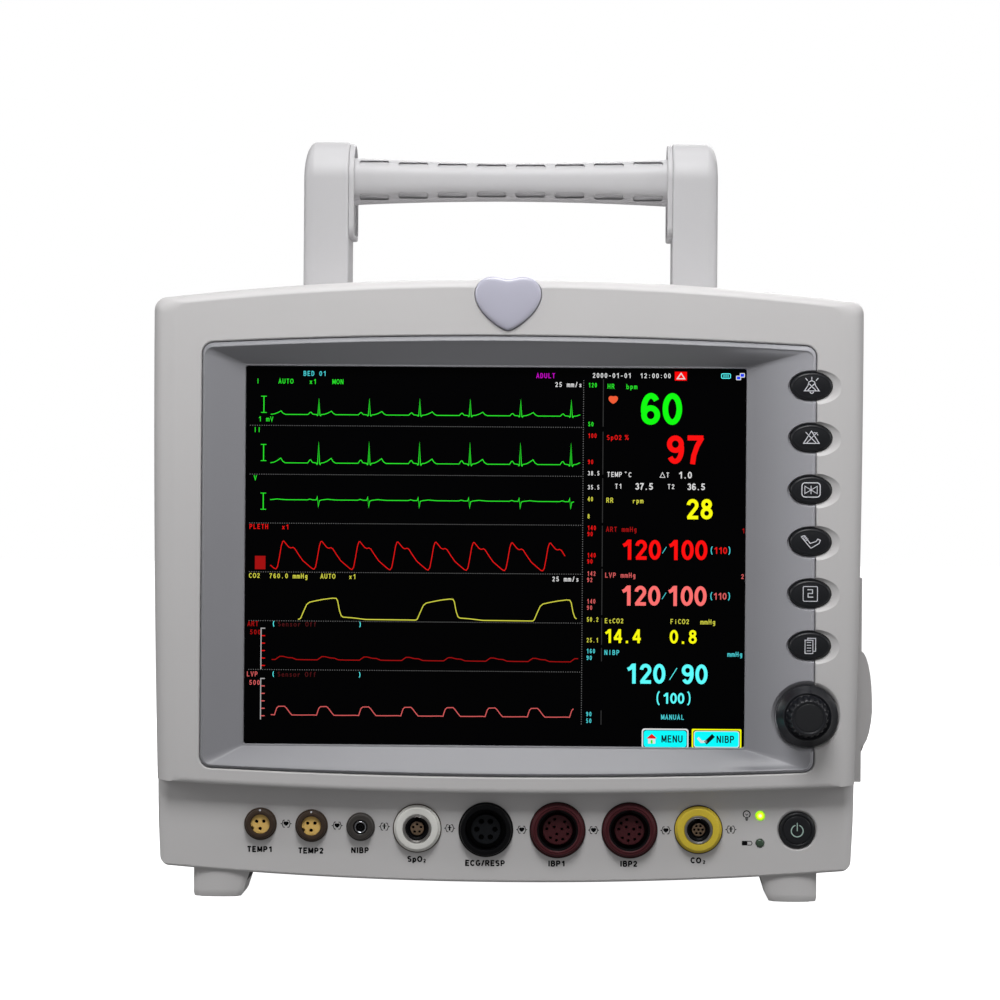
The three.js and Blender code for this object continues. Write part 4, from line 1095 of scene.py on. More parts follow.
# What the small lettering says, by colour: each text with its left end and its middle height.
CAPTIONS = {
    "green": (("I", 4.8, 7.4), ("AUTO", 15.7, 7.4), ("x1", 31, 7.5), ("MON", 42.4, 7.5), ("1 mV", 5.9, 26.1),
              ("II", 3.6, 31.4), ("V", 3.8, 55.1), ("HR", 178, 8.9), ("bpm", 187.2, 9.0)),
    "red": (("PLETH", 1.8, 79.2), ("x1", 17.9, 79.3), ("SpO2", 177.8, 34.1), ("%", 186.9, 34.0)),
    "yellow": (("CO2", 1.8, 103.4), ("760.0 mmHg", 11.8, 103.5), ("AUTO", 37.1, 103.5), ("x1", 51.2, 103.6),
               ("RR", 177.8, 65), ("rpm", 190.6, 65.2), ("EtCO2", 177.4, 124.4), ("FiCO2", 209.7, 124.5),
               ("mmHg", 224.6, 124.6)),
    "deep_red": (("ART", 1.2, 127.2), ("500", 2.4, 131.3), ("ART mmHg", 177.8, 79.3), ("1", 244.6, 79.6)),
    "pink": (("LVP", 1.0, 152.0), ("500", 2.2, 156.2), ("LVP mmHg", 177.4, 101.9), ("2", 244.3, 102.1)),
    "cyan": (("BED 01", 28, 3.5), ("NIBP", 177.4, 140.0), ("mmHg", 238, 140.4), ("MANUAL", 205.6, 171.6)),
    "magenta": (("ADULT", 142.9, 3.9),),
    "white": (("2000-01-01", 170.6, 3.6), ("12:00:00", 194, 3.6), ("25 mm/s", 152.2, 8.2),
              ("25 mm/s", 151.4, 104), ("TEMP", 178.1, 52.3), ("C", 188.7, 52.4), ("T", 207.2, 52.4),
              ("T1", 182, 58.1), ("T2", 207.9, 58.1))}

# The alarm limits left of the figures, by colour: each with its middle height.
LIMITS = {
    "green": (("120", 8.4), ("50", 27.6)),
    "red": (("100", 33.3), ("90", 46.2), ("140", 78.7), ("90", 81.7), ("140", 92.2), ("90", 95.2)),
    "white": (("38.5", 51.8), ("35.5", 58.7)),
    "yellow": (("40", 64.5), ("8", 73.0), ("50.2", 123.8), ("25.1", 134.0)),
    "pink": (("142", 101.2), ("92", 104.3), ("140", 114.9), ("90", 118.0)),
    "cyan": (("160", 139.4), ("90", 142.7), ("90", 170.4), ("50", 173.7))}


def captions(show):
    for name, rows in CAPTIONS.items():
        for text, u, v in rows:
            show.small(name, text, u, v)
    show.line("white", [(204.4, 53.6), (205.6, 51.2), (206.8, 53.6)], 0.28, True)
    show.line("white", [(187.5 + 0.3 * math.cos(a), 51.2 + 0.3 * math.sin(a)) for a in range(6)], 0.22, True)
    for name, rows in LIMITS.items():
        for text, v in rows:
            show.small(name, text, LIMITS_U, v, LIMITS_CELL, 2.3)


# The large figures, by colour: each with its middle and its height.
FIGURES = {
    "green_figures": (("60", 204.8, 19.9, 15.9),),
    "red_figures": (("97", 216.8, 39.9, 14.2), ("120", 195.4, 89.3, 9.9), ("100", 218.2, 89.3, 9.9)),
    "white": (("1.0", 216.8, 52.4, 3.3), ("37.5", 196.6, 58.1, 3.3), ("36.5", 222.2, 58.1, 3.3)),
    "yellow_figures": (("28", 224.0, 69.1, 10.1), ("14.4", 186.5, 131.9, 6.8), ("0.8", 216.4, 132.0, 6.8)),
    "red": (("110", 234.4, 89.4, 3.3),),
    "pink_figures": (("120", 195.2, 111.9, 9.9), ("100", 218.0, 111.9, 9.9)),
    "pink": (("110", 234.3, 111.9, 3.3),),
    "cyan_figures": (("120", 198.0, 150.3, 9.9), ("90", 222.1, 150.4, 9.9), ("100", 211.8, 162.3, 5.4))}


def figures(show):
    for name, rows in FIGURES.items():
        for text, u, v, height in rows:
            show.number(name, text, u, v, height)
    for v in (89.4, 111.9):
        show.brackets("cyan", 229.8, 239.0, v, 3.9)
        show.line("cyan", [(205.8, v + 1.6), (207.8, v - 1.6)], 0.32)
    show.brackets("cyan_figures", 203.8, 219.8, 162.3, 6.6)
    show.line("cyan_figures", [(209.8, 153.2), (213.4, 147.4)], 0.34)
    show.area("orange", [(181.1 + 0.145 * x, 15.6 - 0.145 * (z - LAMP.z)) for x, z in heart_outline(0, 4)])


def status(show):
    """The alarm, battery and network signs along the display's top, and its two buttons."""
    def box(name, u, v, wide, tall, corner, layer=0):
        show.area(name, rounded_box(u, v, wide, tall, corner, 4), layer)
    box("red_figures", 214.3, 3.7, 6.0, 4.4, 0.3)
    show.line("white", [(212.5, 5.0), (214.4, 2.3), (216.2, 5.0)], 0.5, True, 1)
    show.line("cyan_figures", rounded_box(236.5, 3.5, 4.4, 2.2, 0.5, 3), 0.4, True)
    for u in (235.5, 236.5, 237.5):
        show.line("cyan_figures", [(u, 2.8), (u, 4.2)], 0.4)
    for layer, u, v in ((0, 242.7, 4.4), (2, 244.5, 3.1)):
        box("white", u, v, 2.5, 2.2, 0.4, layer)
        box("blue", u, v, 1.7, 1.4, 0.2, layer + 1)
    plain = [("white", 0, 1.4), ("black", 0.65, 1.2), ("cyan_button", 0.95, 1.4)]
    chosen = [("yellow_figures", 0, 0.5), ("black", 0.65, 1.2), ("white", 0.95, 1.3),
              ("cyan_button", 1.3, 1.2)]
    for u0, u1, rows in ((196.3, 219.3, plain), (220.9, 245.3, chosen)):
        for layer, (name, inset, corner) in enumerate(rows):
            box(name, (u0 + u1) / 2, 182.3, u1 - u0 - 2 * inset, 10.1 - 2 * inset, corner, layer)
    for text, u in (("MENU", 211.2), ("NIBP", 237.4)):
        x, z = show.at(u, 182.3)
        show.ink("black", 5).strokes(text, x, z, 3.5, 0.17, stretch=0.92)
    show.area("red", [(198.6, 182.2), (201.2, 179.9), (203.8, 182.2)], 4)
    box("white", 201.2, 183.5, 3.6, 2.4, 0.1, 4)
    box("green", 201.2, 183.8, 0.9, 1.7, 0.1, 5)
    show.line("white", [(223.9, 181.6), (225.6, 183.6), (228.4, 183.4)], 1.2, layer=4)
    show.line("black", [(227.6, 184.2), (229.4, 182.6), (231.6, 180.4)], 2.0, layer=4)


def display():
    show = Display()
    tracks(show)
    traces(show)
    captions(show)
    figures(show)
    status(show)
    show.pieces()


# ---- Sockets ------------------------------------------------------------------------------------------

def around(radius, angles):
    return [(radius * math.cos(math.radians(a)), radius * math.sin(math.radians(a))) for a in angles]


def flange(spot):
    """A socket's section from its blind bore's floor round its shank and its flange to the crown."""
    radius, back, front = spot.wide / 2, spot.y1, PANEL["y"]
    return [(0, back), (radius - 2, back), (radius - 2, front + 0.02), (radius, front + 0.02),
            (radius, front - 0.7), (radius - 0.25, front - 1.15), (radius - 0.7, front - 1.35),
            (radius - 1.1, spot.y0 + 0.5), (radius - 1.5, spot.y0 + 0.1), (radius - 2.0, spot.y0)]


def behind(spot, profile):
    """A section given as (radius, distance behind the span's front)."""
    return [(radius, spot.y0 + y) for radius, y in profile]


def socket(name, material, mouth, bore, pit=None):
    """A socket's moulded ring. mouth gives the section from the flange's crown into the bore, as behind()
    takes it, and pit is cut out of the flange."""
    spot = SOCKETS[name]
    floor = spot.y1 - 1.2
    profile = flange(spot) + behind(spot, mouth) + [(bore, floor), (0, floor)]
    piece = shape(f"socket_ring_{name}", lathe(profile, spot.x, spot.z, 96))
    if pit:
        cut(piece, pit)
    finish_piece(piece, material, stands_for=[f"socket_{name}"])


def insert(name, material, holes, hole, forward=0.0, edge=0.5, grow=0.0, notch=None):
    """The disc of contact holes in a socket's bore, its front face forward of the CAD disc's, with black
    plugs in the holes as painted shade for their depth."""
    spot = Span(f"insert_{name}")
    radius, face = spot.wide / 2 + grow, spot.y0 - forward
    disc = shape(f"insert_disc_{name}", lathe([
        (0, spot.y1), (radius, spot.y1), (radius, face + edge), (radius - 0.3 * edge, face + 0.3 * edge),
        (radius - edge, face), (0, face)], spot.x, spot.z, 80))
    for px, pz in holes:
        cut(disc, lathe([(0, face - 1), (hole / 2 + 0.2, face - 1), (hole / 2 + 0.15, face - 0.01),
                         (hole / 2, face + 0.2), (hole / 2, face + 3), (0, face + 3)],
                        spot.x + px, spot.z + pz, 24))
    if notch:
        cut(disc, lathe([(0, face - 1), (0.95, face - 1), (0.95, face + 3), (0, face + 3)],
                        spot.x + notch[0], spot.z + notch[1], 24))
    finish_piece(disc, material, stands_for=[f"insert_{name}"], crease=40)
    # Black plugs inside the contact holes: painted shade for the holes' dark depth.
    reach = hole / 2 - 0.06
    hole_shade_plugs = [lathe([(0, face + 2.6), (reach, face + 2.6), (reach, face + 0.9), (0, face + 0.9)],
                   spot.x + px, spot.z + pz, 20) for px, pz in holes]
    finish_piece(shape(f"insert_hole_shade_{name}", *hole_shade_plugs), PAINTED_HOLE_SHADE)


def collar(name, title, profile, material, steps=96, key=None):
    """A turned ring in a socket, with key cut out of it."""
    spot = SOCKETS[name]
    piece = shape(f"{title}_{name}", lathe(profile, spot.x, spot.z, steps, looped=True))
    if key:
        cut(piece, key)
    finish_piece(piece, material)


def socket_edge(name, out, material):
    """The thin ring that shows round a socket's flange."""
    radius, front = SOCKETS[name].wide / 2, PANEL["y"]
    collar(name, "socket_edge", [(radius - 0.02, front - 0.03), (radius + out, front - 0.03),
                                 (radius + out, front - 0.75), (radius + 0.1, front - 1.0),
                                 (radius - 0.02, front - 0.9)], material)


def temperature_socket(name):
    spot, bore, mark_z = SOCKETS[name], 4.8, SOCKETS[name].z + 6.9
    pit = lathe([(0, 0), (0.5, 0), (0.5, spot.y0 + 0.5), (0, spot.y0 + 0.5)], spot.x, mark_z, 16)
    socket(name, SOCKET_BROWN, [(bore + 0.5, 0), (bore + 0.2, 0.08), (bore, 0.35), (bore, 1)], bore, pit)
    dot = behind(spot, [(0, 0.45), (0.45, 0.45), (0.45, 0.05), (0, -0.02)])
    finish_piece(shape(f"index_{name}", lathe(dot, spot.x, mark_z, 16)), ICON_GREY)
    insert(name, GOLD, around(2.2, (38, 145, 268)), 1.7, forward=3.4, edge=0.15, grow=0.3, notch=(-4.0, -2.0))


def cuff_socket():
    spot, nipple = SOCKETS["cuff"], Span("insert_cuff")
    socket("cuff", SOCKET_CUFF, [(5.7, 0), (5.3, 0.15), (5.2, 0.5), (5.2, 1)], 5.2)
    collar("cuff", "cuff_seal", behind(spot, [(5.15, 0.35), (5.0, 0.15), (3.8, 0.1), (3.55, 0.3), (3.5, 6.0),
                                              (5.15, 6.0)]), SOCKET_CUFF)
    mouth = behind(nipple, [(3.0, 0.5), (2.85, 0.12), (2.6, 0), (2.4, 0.1), (2.25, 0.5)])
    tube = [(2.3, nipple.y1), (2.95, nipple.y1)] + mouth
    finish_piece(shape("cuff_nipple", lathe(tube, nipple.x, nipple.z, 64, looped=True)), BRIGHT_METAL,
                 stands_for=["insert_cuff"])
    tip = behind(nipple, [(2.0, 1.0), (1.8, 0.8), (1.2, 0.75), (1.0, 1.5), (0, 1.6)])
    core = [(0, nipple.y1 - 0.2), (2.0, nipple.y1 - 0.2)] + tip
    finish_piece(shape("cuff_valve", lathe(core, nipple.x, nipple.z, 48)), SOCKET_BLACK)


def shelled_socket(name, paint, holes, outer, inner):
    """A painted socket with a metal shell, outer and inner in radius, and a keyed black lining."""
    spot, bore, lip = SOCKETS[name], inner + 0.05, 0.35 * (outer - inner)
    socket(name, paint, [(outer + 0.55, 0), (outer + 0.2, 0.12), (outer + 0.05, 0.5), (outer + 0.05, 1.2),
                         (bore, 1.3), (bore, 2)], bore)
    socket_edge(name, 0.35, SOCKET_BROWN)
    collar(name, "socket_shell", behind(spot, [
        (outer, 1.25), (outer, 0.05), (outer - 0.15, -0.15), (outer - lip, -0.2), (outer - lip - 0.15, 0.3),
        (inner + lip, 0.35), (inner + 0.15, 0.15), (inner + 0.02, 0.3), (inner + 0.02, 1.25)]),
        SHADED_METAL)
    keyway = block(spot.x - 1.1, spot.x + 1.1, spot.y0 - 0.5, spot.y1 - 2, spot.z + 3.9,
                   spot.z + inner - 0.15)
    collar(name, "socket_lining", [(inner, spot.y0 + 0.6), (inner, spot.y1 - 1.3), (3.6, spot.y1 - 1.3),
                                   (3.6, spot.y0 + 3.2), (inner - 0.7, spot.y0 + 2.6),
                                   (inner - 0.6, spot.y0 + 0.6)], SOCKET_BLACK, steps=80, key=keyway)
    brown = surface(f"contact_brown_{name}", srgb(112, 92, 72), 0.5, mottle=0.1)
    insert(name, brown, holes, 1.25, forward=3.0, edge=0.2)


def pressure_socket(name):
    spot, bore = SOCKETS[name], 10.05
    socket(name, SOCKET_MAROON, [(11.6, 0), (11.35, 0.35), (11.1, 0.35), (10.9, 0.1), (10.5, 0.1),
                                 (bore + 0.1, 0.4), (bore, 1)], bore)
    socket_edge(name, 0.3, SOCKET_BLACK)
    keyway = block(spot.x - 1.2, spot.x + 1.2, spot.y0, spot.y1 - 2, spot.z + 8.5, spot.z + 10.5)
    collar(name, "socket_lining", [(bore - 0.05, spot.y0 + 0.7), (bore - 0.05, spot.y1 - 1.3),
                                   (9.0, spot.y1 - 1.3), (9.0, spot.y0 + 1.4), (9.3, spot.y0 + 0.9)],
           SOCKET_BLACK, steps=80, key=keyway)
    holes = around(5.3, (14, 48, 105, 141, 176, 229, 264, 299, 337)) + around(2.15, (10, 140, 262))
    insert(name, SOCKET_MAROON, holes, 1.35)


def sockets():
    for name in ("temperature_1", "temperature_2"):
        temperature_socket(name)
    cuff_socket()
    shelled_socket("oximeter", SOCKET_WHITE, around(2.0, (90, 162, 234, 306, 18)), 7.0, 5.75)
    shelled_socket("gas", SOCKET_YELLOW, [(0, 0)] + around(2.05, range(0, 360, 60)), 6.9, 5.65)
    socket("ecg", SOCKET_BLACK, [(10.7, 0), (10.2, 0.15), (9.9, 0.6), (9.8, 1.2)], 9.8)
    insert("ecg", surface("insert_black", srgb(22, 24, 28), 0.45, mottle=0.08, specular=0.2),
           around(4.45, range(0, 360, 60)), 2.5)
    for name in ("pressure_1", "pressure_2"):
        pressure_socket(name)


# ---- Handle -------------------------------------------------------------------------------------------

def arch(middle, centre_z, base_z, half_y, half_z, steps=28):
    """Outline in y and z of an upright with an arched top."""
    turns = (math.pi * i / steps for i in range(steps + 1))
    return [(middle - half_y, base_z), (middle + half_y, base_z)] + [
        (middle + half_y * math.cos(a), centre_z + half_z * math.sin(a)) for a in turns]


def handle_arm(side):
    """An arm with an arched top, rounder on its outer side, and a rimmed plate where the grip starts."""
    title = "left" if side < 0 else "right"
    node = f"handle_arm_{title}"
    arm = Span(node)
    outer, inner = side * (ARM.x1 - 0.9), side * (ARM.x0 + 0.4)
    half = arm.deep / 2
    centre_z = arm.z1 - half
    rings = []
    steps = 9
    for i in range(steps + 1):
        a = math.pi / 2 * i / steps
        lost = 1 - math.sin(a)
        rings.append(side_ring(arch(arm.y, centre_z, arm.z0, half - 5.0 * lost, half - 12.0 * lost),
                               outer - side * 5.6 * (1 - math.cos(a))))
    for i in range(4):
        a = math.pi / 2 * i / 3
        lost = 1 - math.cos(a)
        rings.append(side_ring(arch(arm.y, centre_z, arm.z0, half - 1.2 * lost, half - 1.2 * lost),
                               inner + side * 1.2 * (1 - math.sin(a))))
    finish_piece(shape(f"arm_{title}", loft(rings)), HANDLE_GREY, stands_for=[node], crease=40)

    bottom, reach = 328.5, half - 0.9

    def plate(inset):
        points = []
        for a in (math.pi * i / 28 for i in range(29)):
            points.append((arm.y + (reach - inset) * math.cos(a), centre_z + (reach - inset) * math.sin(a)))
        turn = 6 - inset
        for corner_y, start in ((arm.y - reach + 6, math.pi), (arm.y + reach - 6, 1.5 * math.pi)):
            points += [(corner_y + turn * math.cos(start + math.pi / 2 * i / 8),
                        bottom + 6 + turn * math.sin(start + math.pi / 2 * i / 8)) for i in range(9)]
        return points
    profile = [(0, 0.12), (0, 1.9), (0.15, 2.35), (0.5, 2.6), (0.9, 2.65), (1.7, 2.65), (2.1, 2.5),
               (2.3, 2.1), (2.4, 1.3)]
    rings = [side_ring(plate(inset), inner - side * out) for inset, out in profile]
    finish_piece(shape(f"arm_plate_{title}", loft(rings)), HANDLE_GREY, crease=30)


SLOTS = {"count": 8, "pitch": 19.75, "long": 14.8, "tall": 2.4, "drop": (2.7, 2.5), "depth": 2.2}


def handle_grip():
    """The waisted bar between the arms, with a row of slots along its upper and its lower front edge."""
    reach = GRIP.wide / 2
    power = 0.74
    middle = GRIP.z - 0.6

    def halves(x):
        share = (x / reach) ** 2
        return GRIP.deep / 2 - 0.8 * (1 - share), GRIP.tall / 2 - 2.2 * (1 - share)

    def section(x):
        half_y, half_z = halves(x)
        return [(GRIP.y + half_y * math.copysign(abs(math.cos(a)) ** power, math.cos(a)),
                 middle + half_z * math.copysign(abs(math.sin(a)) ** power, math.sin(a)))
                for a in (2 * math.pi * (i + 0.5) / 88 for i in range(88))]

    def front(x, z):
        half_y, half_z = halves(x)
        left = max(0.0, 1 - min(1, abs(z - middle) / half_z) ** (2 / power))
        return GRIP.y - half_y * left ** (power / 2)
    places = [reach * i / 32 for i in range(-32, 33)]
    bar = shape("grip_bar", loft([side_ring(section(x), x) for x in places]))
    tools = []
    for i in range(SLOTS["count"]):
        x = (i - (SLOTS["count"] - 1) / 2) * SLOTS["pitch"]
        for sign, drop in zip((1, -1), SLOTS["drop"]):
            z = middle + sign * (halves(x)[1] - drop)
            rings = []
            for grow, sink in ((0.35, -6), (0.35, -0.02), (0.1, 0.15), (0, 0.5), (0, SLOTS["depth"])):
                outline = rounded_box(0, 0, SLOTS["long"], SLOTS["tall"], 1.0 + grow, 6, grow)
                rings.append([(x + px, front(x + px, z + pz) + sink, z + pz) for px, pz in outline])
            tools.append(loft(rings))
    cut(bar, *tools)
    finish_piece(bar, HANDLE_GREY, stands_for=["handle_grip"], crease=35)


# ---- Pieces shaped on their CAD solids --------------------------------------------------------------

RECORDER = {"wall": HOUSING.x1 - 0.6, "plate": DOOR.x0 - 0.3, "face": 178.3, "door_low": 68.5}


def plate_place(x, z):
    """The recorder's plate, thinner than the CAD's, its hinge knuckles sunk into it."""
    wall, plate, face = RECORDER["wall"], RECORDER["plate"], RECORDER["face"]
    if x <= wall:
        return x, z
    if x <= plate + 0.01:
        return wall + (x - wall) * (face - wall) / (plate - wall), z
    return face + (x - plate) * 0.05, z


def door_place(x, z):
    """The recorder door's dome, starting higher than the CAD's, its knuckle drawn inside."""
    reach = math.sqrt(max(0.0, 1 - ((z - DOOR.z) / (DOOR.tall / 2)) ** 2))
    edge = DOOR.x0 + DOOR.wide * reach
    x = min(x, edge if x < edge + 0.02 else edge - 0.3)
    return (RECORDER["face"] + (x - RECORDER["plate"]) * 1.04,
            RECORDER["door_low"] + (z - DOOR.z0) * (DOOR.z1 - RECORDER["door_low"]) / DOOR.tall)


def pin_place(x, z):
    return x - 6, z


def latch_place(x, z):
    return (x - 1.4 if x > RECORDER["wall"] else x), z


def from_node(name, node, soften=0.0, move=None):
    """A new piece with a node's shape, its points moved by move and its edges rounded by soften."""
    piece = bpy.data.objects.new(name, frame["nodes"][node].data.copy())
    bpy.context.scene.collection.objects.link(piece)
    build = bmesh.new()
    build.from_mesh(piece.data)
    bmesh.ops.remove_doubles(build, verts=build.verts, dist=2e-6)
    bmesh.ops.dissolve_limit(build, angle_limit=math.radians(0.6), verts=build.verts, edges=build.edges)
    if move:
        for vertex in build.verts:
            x, z = move((vertex.co.x - CENTRE_X) / MM, vertex.co.z / MM)
            vertex.co.x, vertex.co.z = CENTRE_X + x * MM, z * MM
    build.to_mesh(piece.data)
    build.free()
    if soften:
        modifier = piece.modifiers.new("round", "BEVEL")
        modifier.width, modifier.segments = soften * MM, 3
        modifier.limit_method, modifier.angle_limit = "ANGLE", math.radians(35)
        settle(piece)
    return piece


FOOT = {"front": (1.1, 1.5), "rear": (-1.0, 9.0)}  # how far its sides stand outside and inside the CAD foot's
PAD_TOP = 0.5


def foot(end, side, title):
    """A wedge foot with a bulging front and a rubber pad under it."""
    spot = Span(f"foot_{end}_{title}")
    outwards, inwards = FOOT[end]
    outer = (spot.x1 if side > 0 else spot.x0) + side * outwards
    inner = (spot.x0 if side > 0 else spot.x1) + side * inwards
    rings = []
    for step in range(9):
        t = step / 8
        z = PAD_TOP + (spot.z1 - PAD_TOP) * t
        lean = inner + side * 4.6 * (1 - t)
        shrink = 0.5 if step == 0 else 0.0
        points = []
        for i in range(17):
            across = -1 + i / 8
            x = (outer + lean) / 2 + across * (abs(outer - lean) / 2 - shrink)
            bulge = 1.8 * (1 - across * across) + (0.9 if abs(across) < 0.99 else 0)
            points.append((x, spot.y0 - 0.9 - bulge + shrink, z))
        points += [(points[-1][0], spot.y1 - shrink, z), (points[0][0], spot.y1 - shrink, z)]
        rings.append(points)
    node = f"foot_{end}_{title}"
    finish_piece(shape(f"{node}_body", loft(rings)), HOUSING_GREY, stands_for=[node], crease=40)
    middle_x, middle_y = (outer + inner) / 2, (spot.y0 + spot.y1) / 2
    pad = [(x + (middle_x - x) * 0.16, y + (middle_y - y) * 0.16) for x, y, _ in rings[0]]
    sole = loft([[(x, y, z) for x, y in pad] for z in (0.0, 0.48)])
    finish_piece(shape(f"{node}_pad", sole), RUBBER_AND_PAINTED_SHADE)
    return rings[0][0 if side > 0 else 16][0], inner


def painted_shade_strip(side, title, low_x, high_x):
    """A dark strip along the inner side of a front foot: painted shade, where that side lies in shadow under
    the body.
    """
    spot = Span(f"foot_front_{title}")
    edge = [(low_x - side * 0.25, 0.8), (high_x - side * 0.25, spot.z1 - 0.2)]
    outline = edge + [(x + side * 0.6, z) for x, z in reversed(edge)]
    finish_piece(shape(f"foot_{title}_cheek", loft([ring(outline, y) for y in (spot.y0 - 0.2, spot.y1 - 1)])),
                 RUBBER_AND_PAINTED_SHADE)


def feet():
    for side, title in ((-1, "left"), (1, "right")):
        painted_shade_strip(side, title, *foot("front", side, title))
    for side, title in ((-1, "left"), (1, "right")):
        foot("rear", side, title)


# ---- Rear and sides ------------------------------------------------------------------------------------

REAR = Span("rear_housing")
REAR_FACE = REAR.y1
SPEAKER, INLET, NETWORK = Span("speaker"), Span("mains_inlet"), Span("network_port")
REAR_VENT = {"count": 13, "pitch": 6.2, "x": 58, "long": 92, "short": 84, "tall": 2.6, "top": 246}
SIDE_VENT = {"count": 12, "pitch": 6.0, "deep": 54, "tall": 2.6, "y": 92}
SIDE_VENT_LOW = {"left": 142, "right": 182}            # height of each side's lowest vent
SIDES = (("left", -1), ("right", 1))
MOUNT_PLACES = [(37.5 * a, 118 + 37.5 * b) for b in (-1, 1) for a in (-1, 1)]  # on a 75 mm square
CORNER_SCREWS = [(-138, 30), (138, 30), (-138, 252), (138, 252), (0, 262)]
GROUND_POST = (-132, 46)
RATING_PLATE = {"x": 0, "z": 50, "wide": 54, "tall": 26}


def on_rear(profile):
    """A section given as (radius, distance out of the rear face)."""
    return [(radius, REAR_FACE + y) for radius, y in profile]


def rear_cut(outline, depth, flare=0.5):
    """A cutter into the rear face with a softened mouth. outline(grow) gives its section."""
    steps = ((flare, 3), (flare, 0.02), (flare * 0.4, -0.15), (0.0, -0.5), (0.0, -depth))
    return loft([ring(outline(grow), REAR_FACE + y) for grow, y in steps])


def rear_hole(x, z, radius, depth, flare, steps=48):
    return rear_cut(lambda grow: circle(x, z, radius + grow, steps), depth, flare)


def screw(name, x, z, y, radius=3.1):
    """A pan-head screw with a cross recess, seen from the rear."""
    head = shape(name, lathe([(0, y - 3), (1.4, y - 3), (1.4, y - 1.6), (radius, y - 1.6), (radius, y - 0.7),
                              (radius * 0.8, y - 0.15), (radius * 0.4, y), (0, y)], x, z, 40))
    for wide, tall in ((radius * 1.15, 0.75), (0.75, radius * 1.15)):
        cut(head, block(x - wide / 2, x + wide / 2, y - 1.1, y + 1, z - tall / 2, z + tall / 2))
    finish_piece(head, BRIGHT_METAL)


def grille_places():
    """Centres of the speaker grille's holes: rings of six, twelve and eighteen."""
    places = [(0, 0)]
    for number in range(1, 4):
        places += around(5.2 * number, [60 / number * i for i in range(6 * number)])
    return [(SPEAKER.x + x, SPEAKER.z + z) for x, z in places]


def rear_vent(x, row):
    """The cutter of one rear vent; the first and last rows are shorter."""
    long = REAR_VENT["short" if row in (0, REAR_VENT["count"] - 1) else "long"]
    z = REAR_VENT["top"] - row * REAR_VENT["pitch"]
    return rear_cut(lambda grow: rounded_box(x, z, long, REAR_VENT["tall"], 1.25 + grow, 5, grow), 6, 0.4)


def side_vent(title, side, row):
    z = SIDE_VENT_LOW[title] + row * SIDE_VENT["pitch"]
    outline = rounded_box(SIDE_VENT["y"], z, SIDE_VENT["deep"], SIDE_VENT["tall"], 1.25, 5)
    return loft([side_ring(outline, side * x) for x in (164, 180)])


def rating_outline(grow, corner):
    plate = RATING_PLATE
    return rounded_box(plate["x"], plate["z"], plate["wide"], plate["tall"], corner, 6, grow)


def rear_housing():
    shell = from_node("rear_housing_shell", "rear_housing")
    tools = [rear_vent(side * REAR_VENT["x"], row) for row in range(REAR_VENT["count"]) for side in (-1, 1)]
    tools += [rear_hole(x, z, 1.45, 6, 0.25, 20) for x, z in grille_places()]
    tools += [rear_hole(x, z, 4.3, 2.2, 0.5) for x, z in CORNER_SCREWS]
    tools += [rear_hole(x, z, 3.6, 1.2, 0.5) for x, z in MOUNT_PLACES]
    tools.append(rear_cut(lambda grow: rating_outline(grow, 2.5), 0.6, 0.3))
    tools += [side_vent(title, side, row) for title, side in SIDES for row in range(SIDE_VENT["count"])]
    cut_apart(shell, tools)
    groove = on_rear([(20.4, 2), (20.4, -0.7), (19.4, -0.7), (19.4, 2)])
    cut(shell, lathe(groove, SPEAKER.x, SPEAKER.z, 96, looped=True))
    finish_piece(shell, HOUSING_GREY, stands_for=["rear_housing"], crease=28)


def rear_fittings():
    """Screws, threaded inserts, the blank rating plate and the earthing post."""
    for number, (x, z) in enumerate(CORNER_SCREWS, 1):
        screw(f"rear_screw_{number}", x, z, REAR_FACE - 0.4)
    bush = on_rear([(2.0, -1.25), (3.4, -1.25), (3.4, -0.25), (3.2, -0.05), (2.4, -0.05), (2.0, -0.4)])
    for number, (x, z) in enumerate(MOUNT_PLACES, 1):
        finish_piece(shape(f"mount_insert_{number}", lathe(bush, x, z, 40, looped=True)), BRASS)
    rings = [ring(rating_outline(grow, 2.1), REAR_FACE + y)
             for grow, y in ((-0.4, -0.58), (-0.4, -0.3), (-0.52, -0.2))]
    finish_piece(shape("rating_plate", loft(rings)), SHEET_STEEL)
    post = on_rear([(0, -0.2), (5.4, -0.2), (5.4, 0.6), (5.0, 0.9), (3.0, 0.9), (3.0, 5.5), (2.6, 6.0),
                    (1.7, 6.0), (1.7, 8.6), (1.3, 9.2), (0, 9.2)])
    finish_piece(shape("ground_post", lathe(post, *GROUND_POST, 6)), BRASS, crease=20)


def vent_screens():
    """Dark filter sheets inside the shell, behind the rear and side vents."""
    top, pitch = REAR_VENT["top"], REAR_VENT["pitch"]
    outline = rounded(-110, 110, top - pitch * REAR_VENT["count"], top + pitch, 4, 5)
    sheets = [("rear", loft([ring(outline, REAR_FACE + y) for y in (-5.6, -4.4)]))]
    half, tall = SIDE_VENT["deep"] / 2 + 5, SIDE_VENT["pitch"] * SIDE_VENT["count"]
    for title, side in SIDES:
        low = SIDE_VENT_LOW[title]
        outline = rounded(SIDE_VENT["y"] - half, SIDE_VENT["y"] + half, low - 5, low + tall, 4, 5)
        sheets.append((title, loft([side_ring(outline, side * x) for x in (168.8, 169.8)])))
    for title, part in sheets:
        finish_piece(shape(f"vent_screen_{title}", part), RUBBER_AND_PAINTED_SHADE)


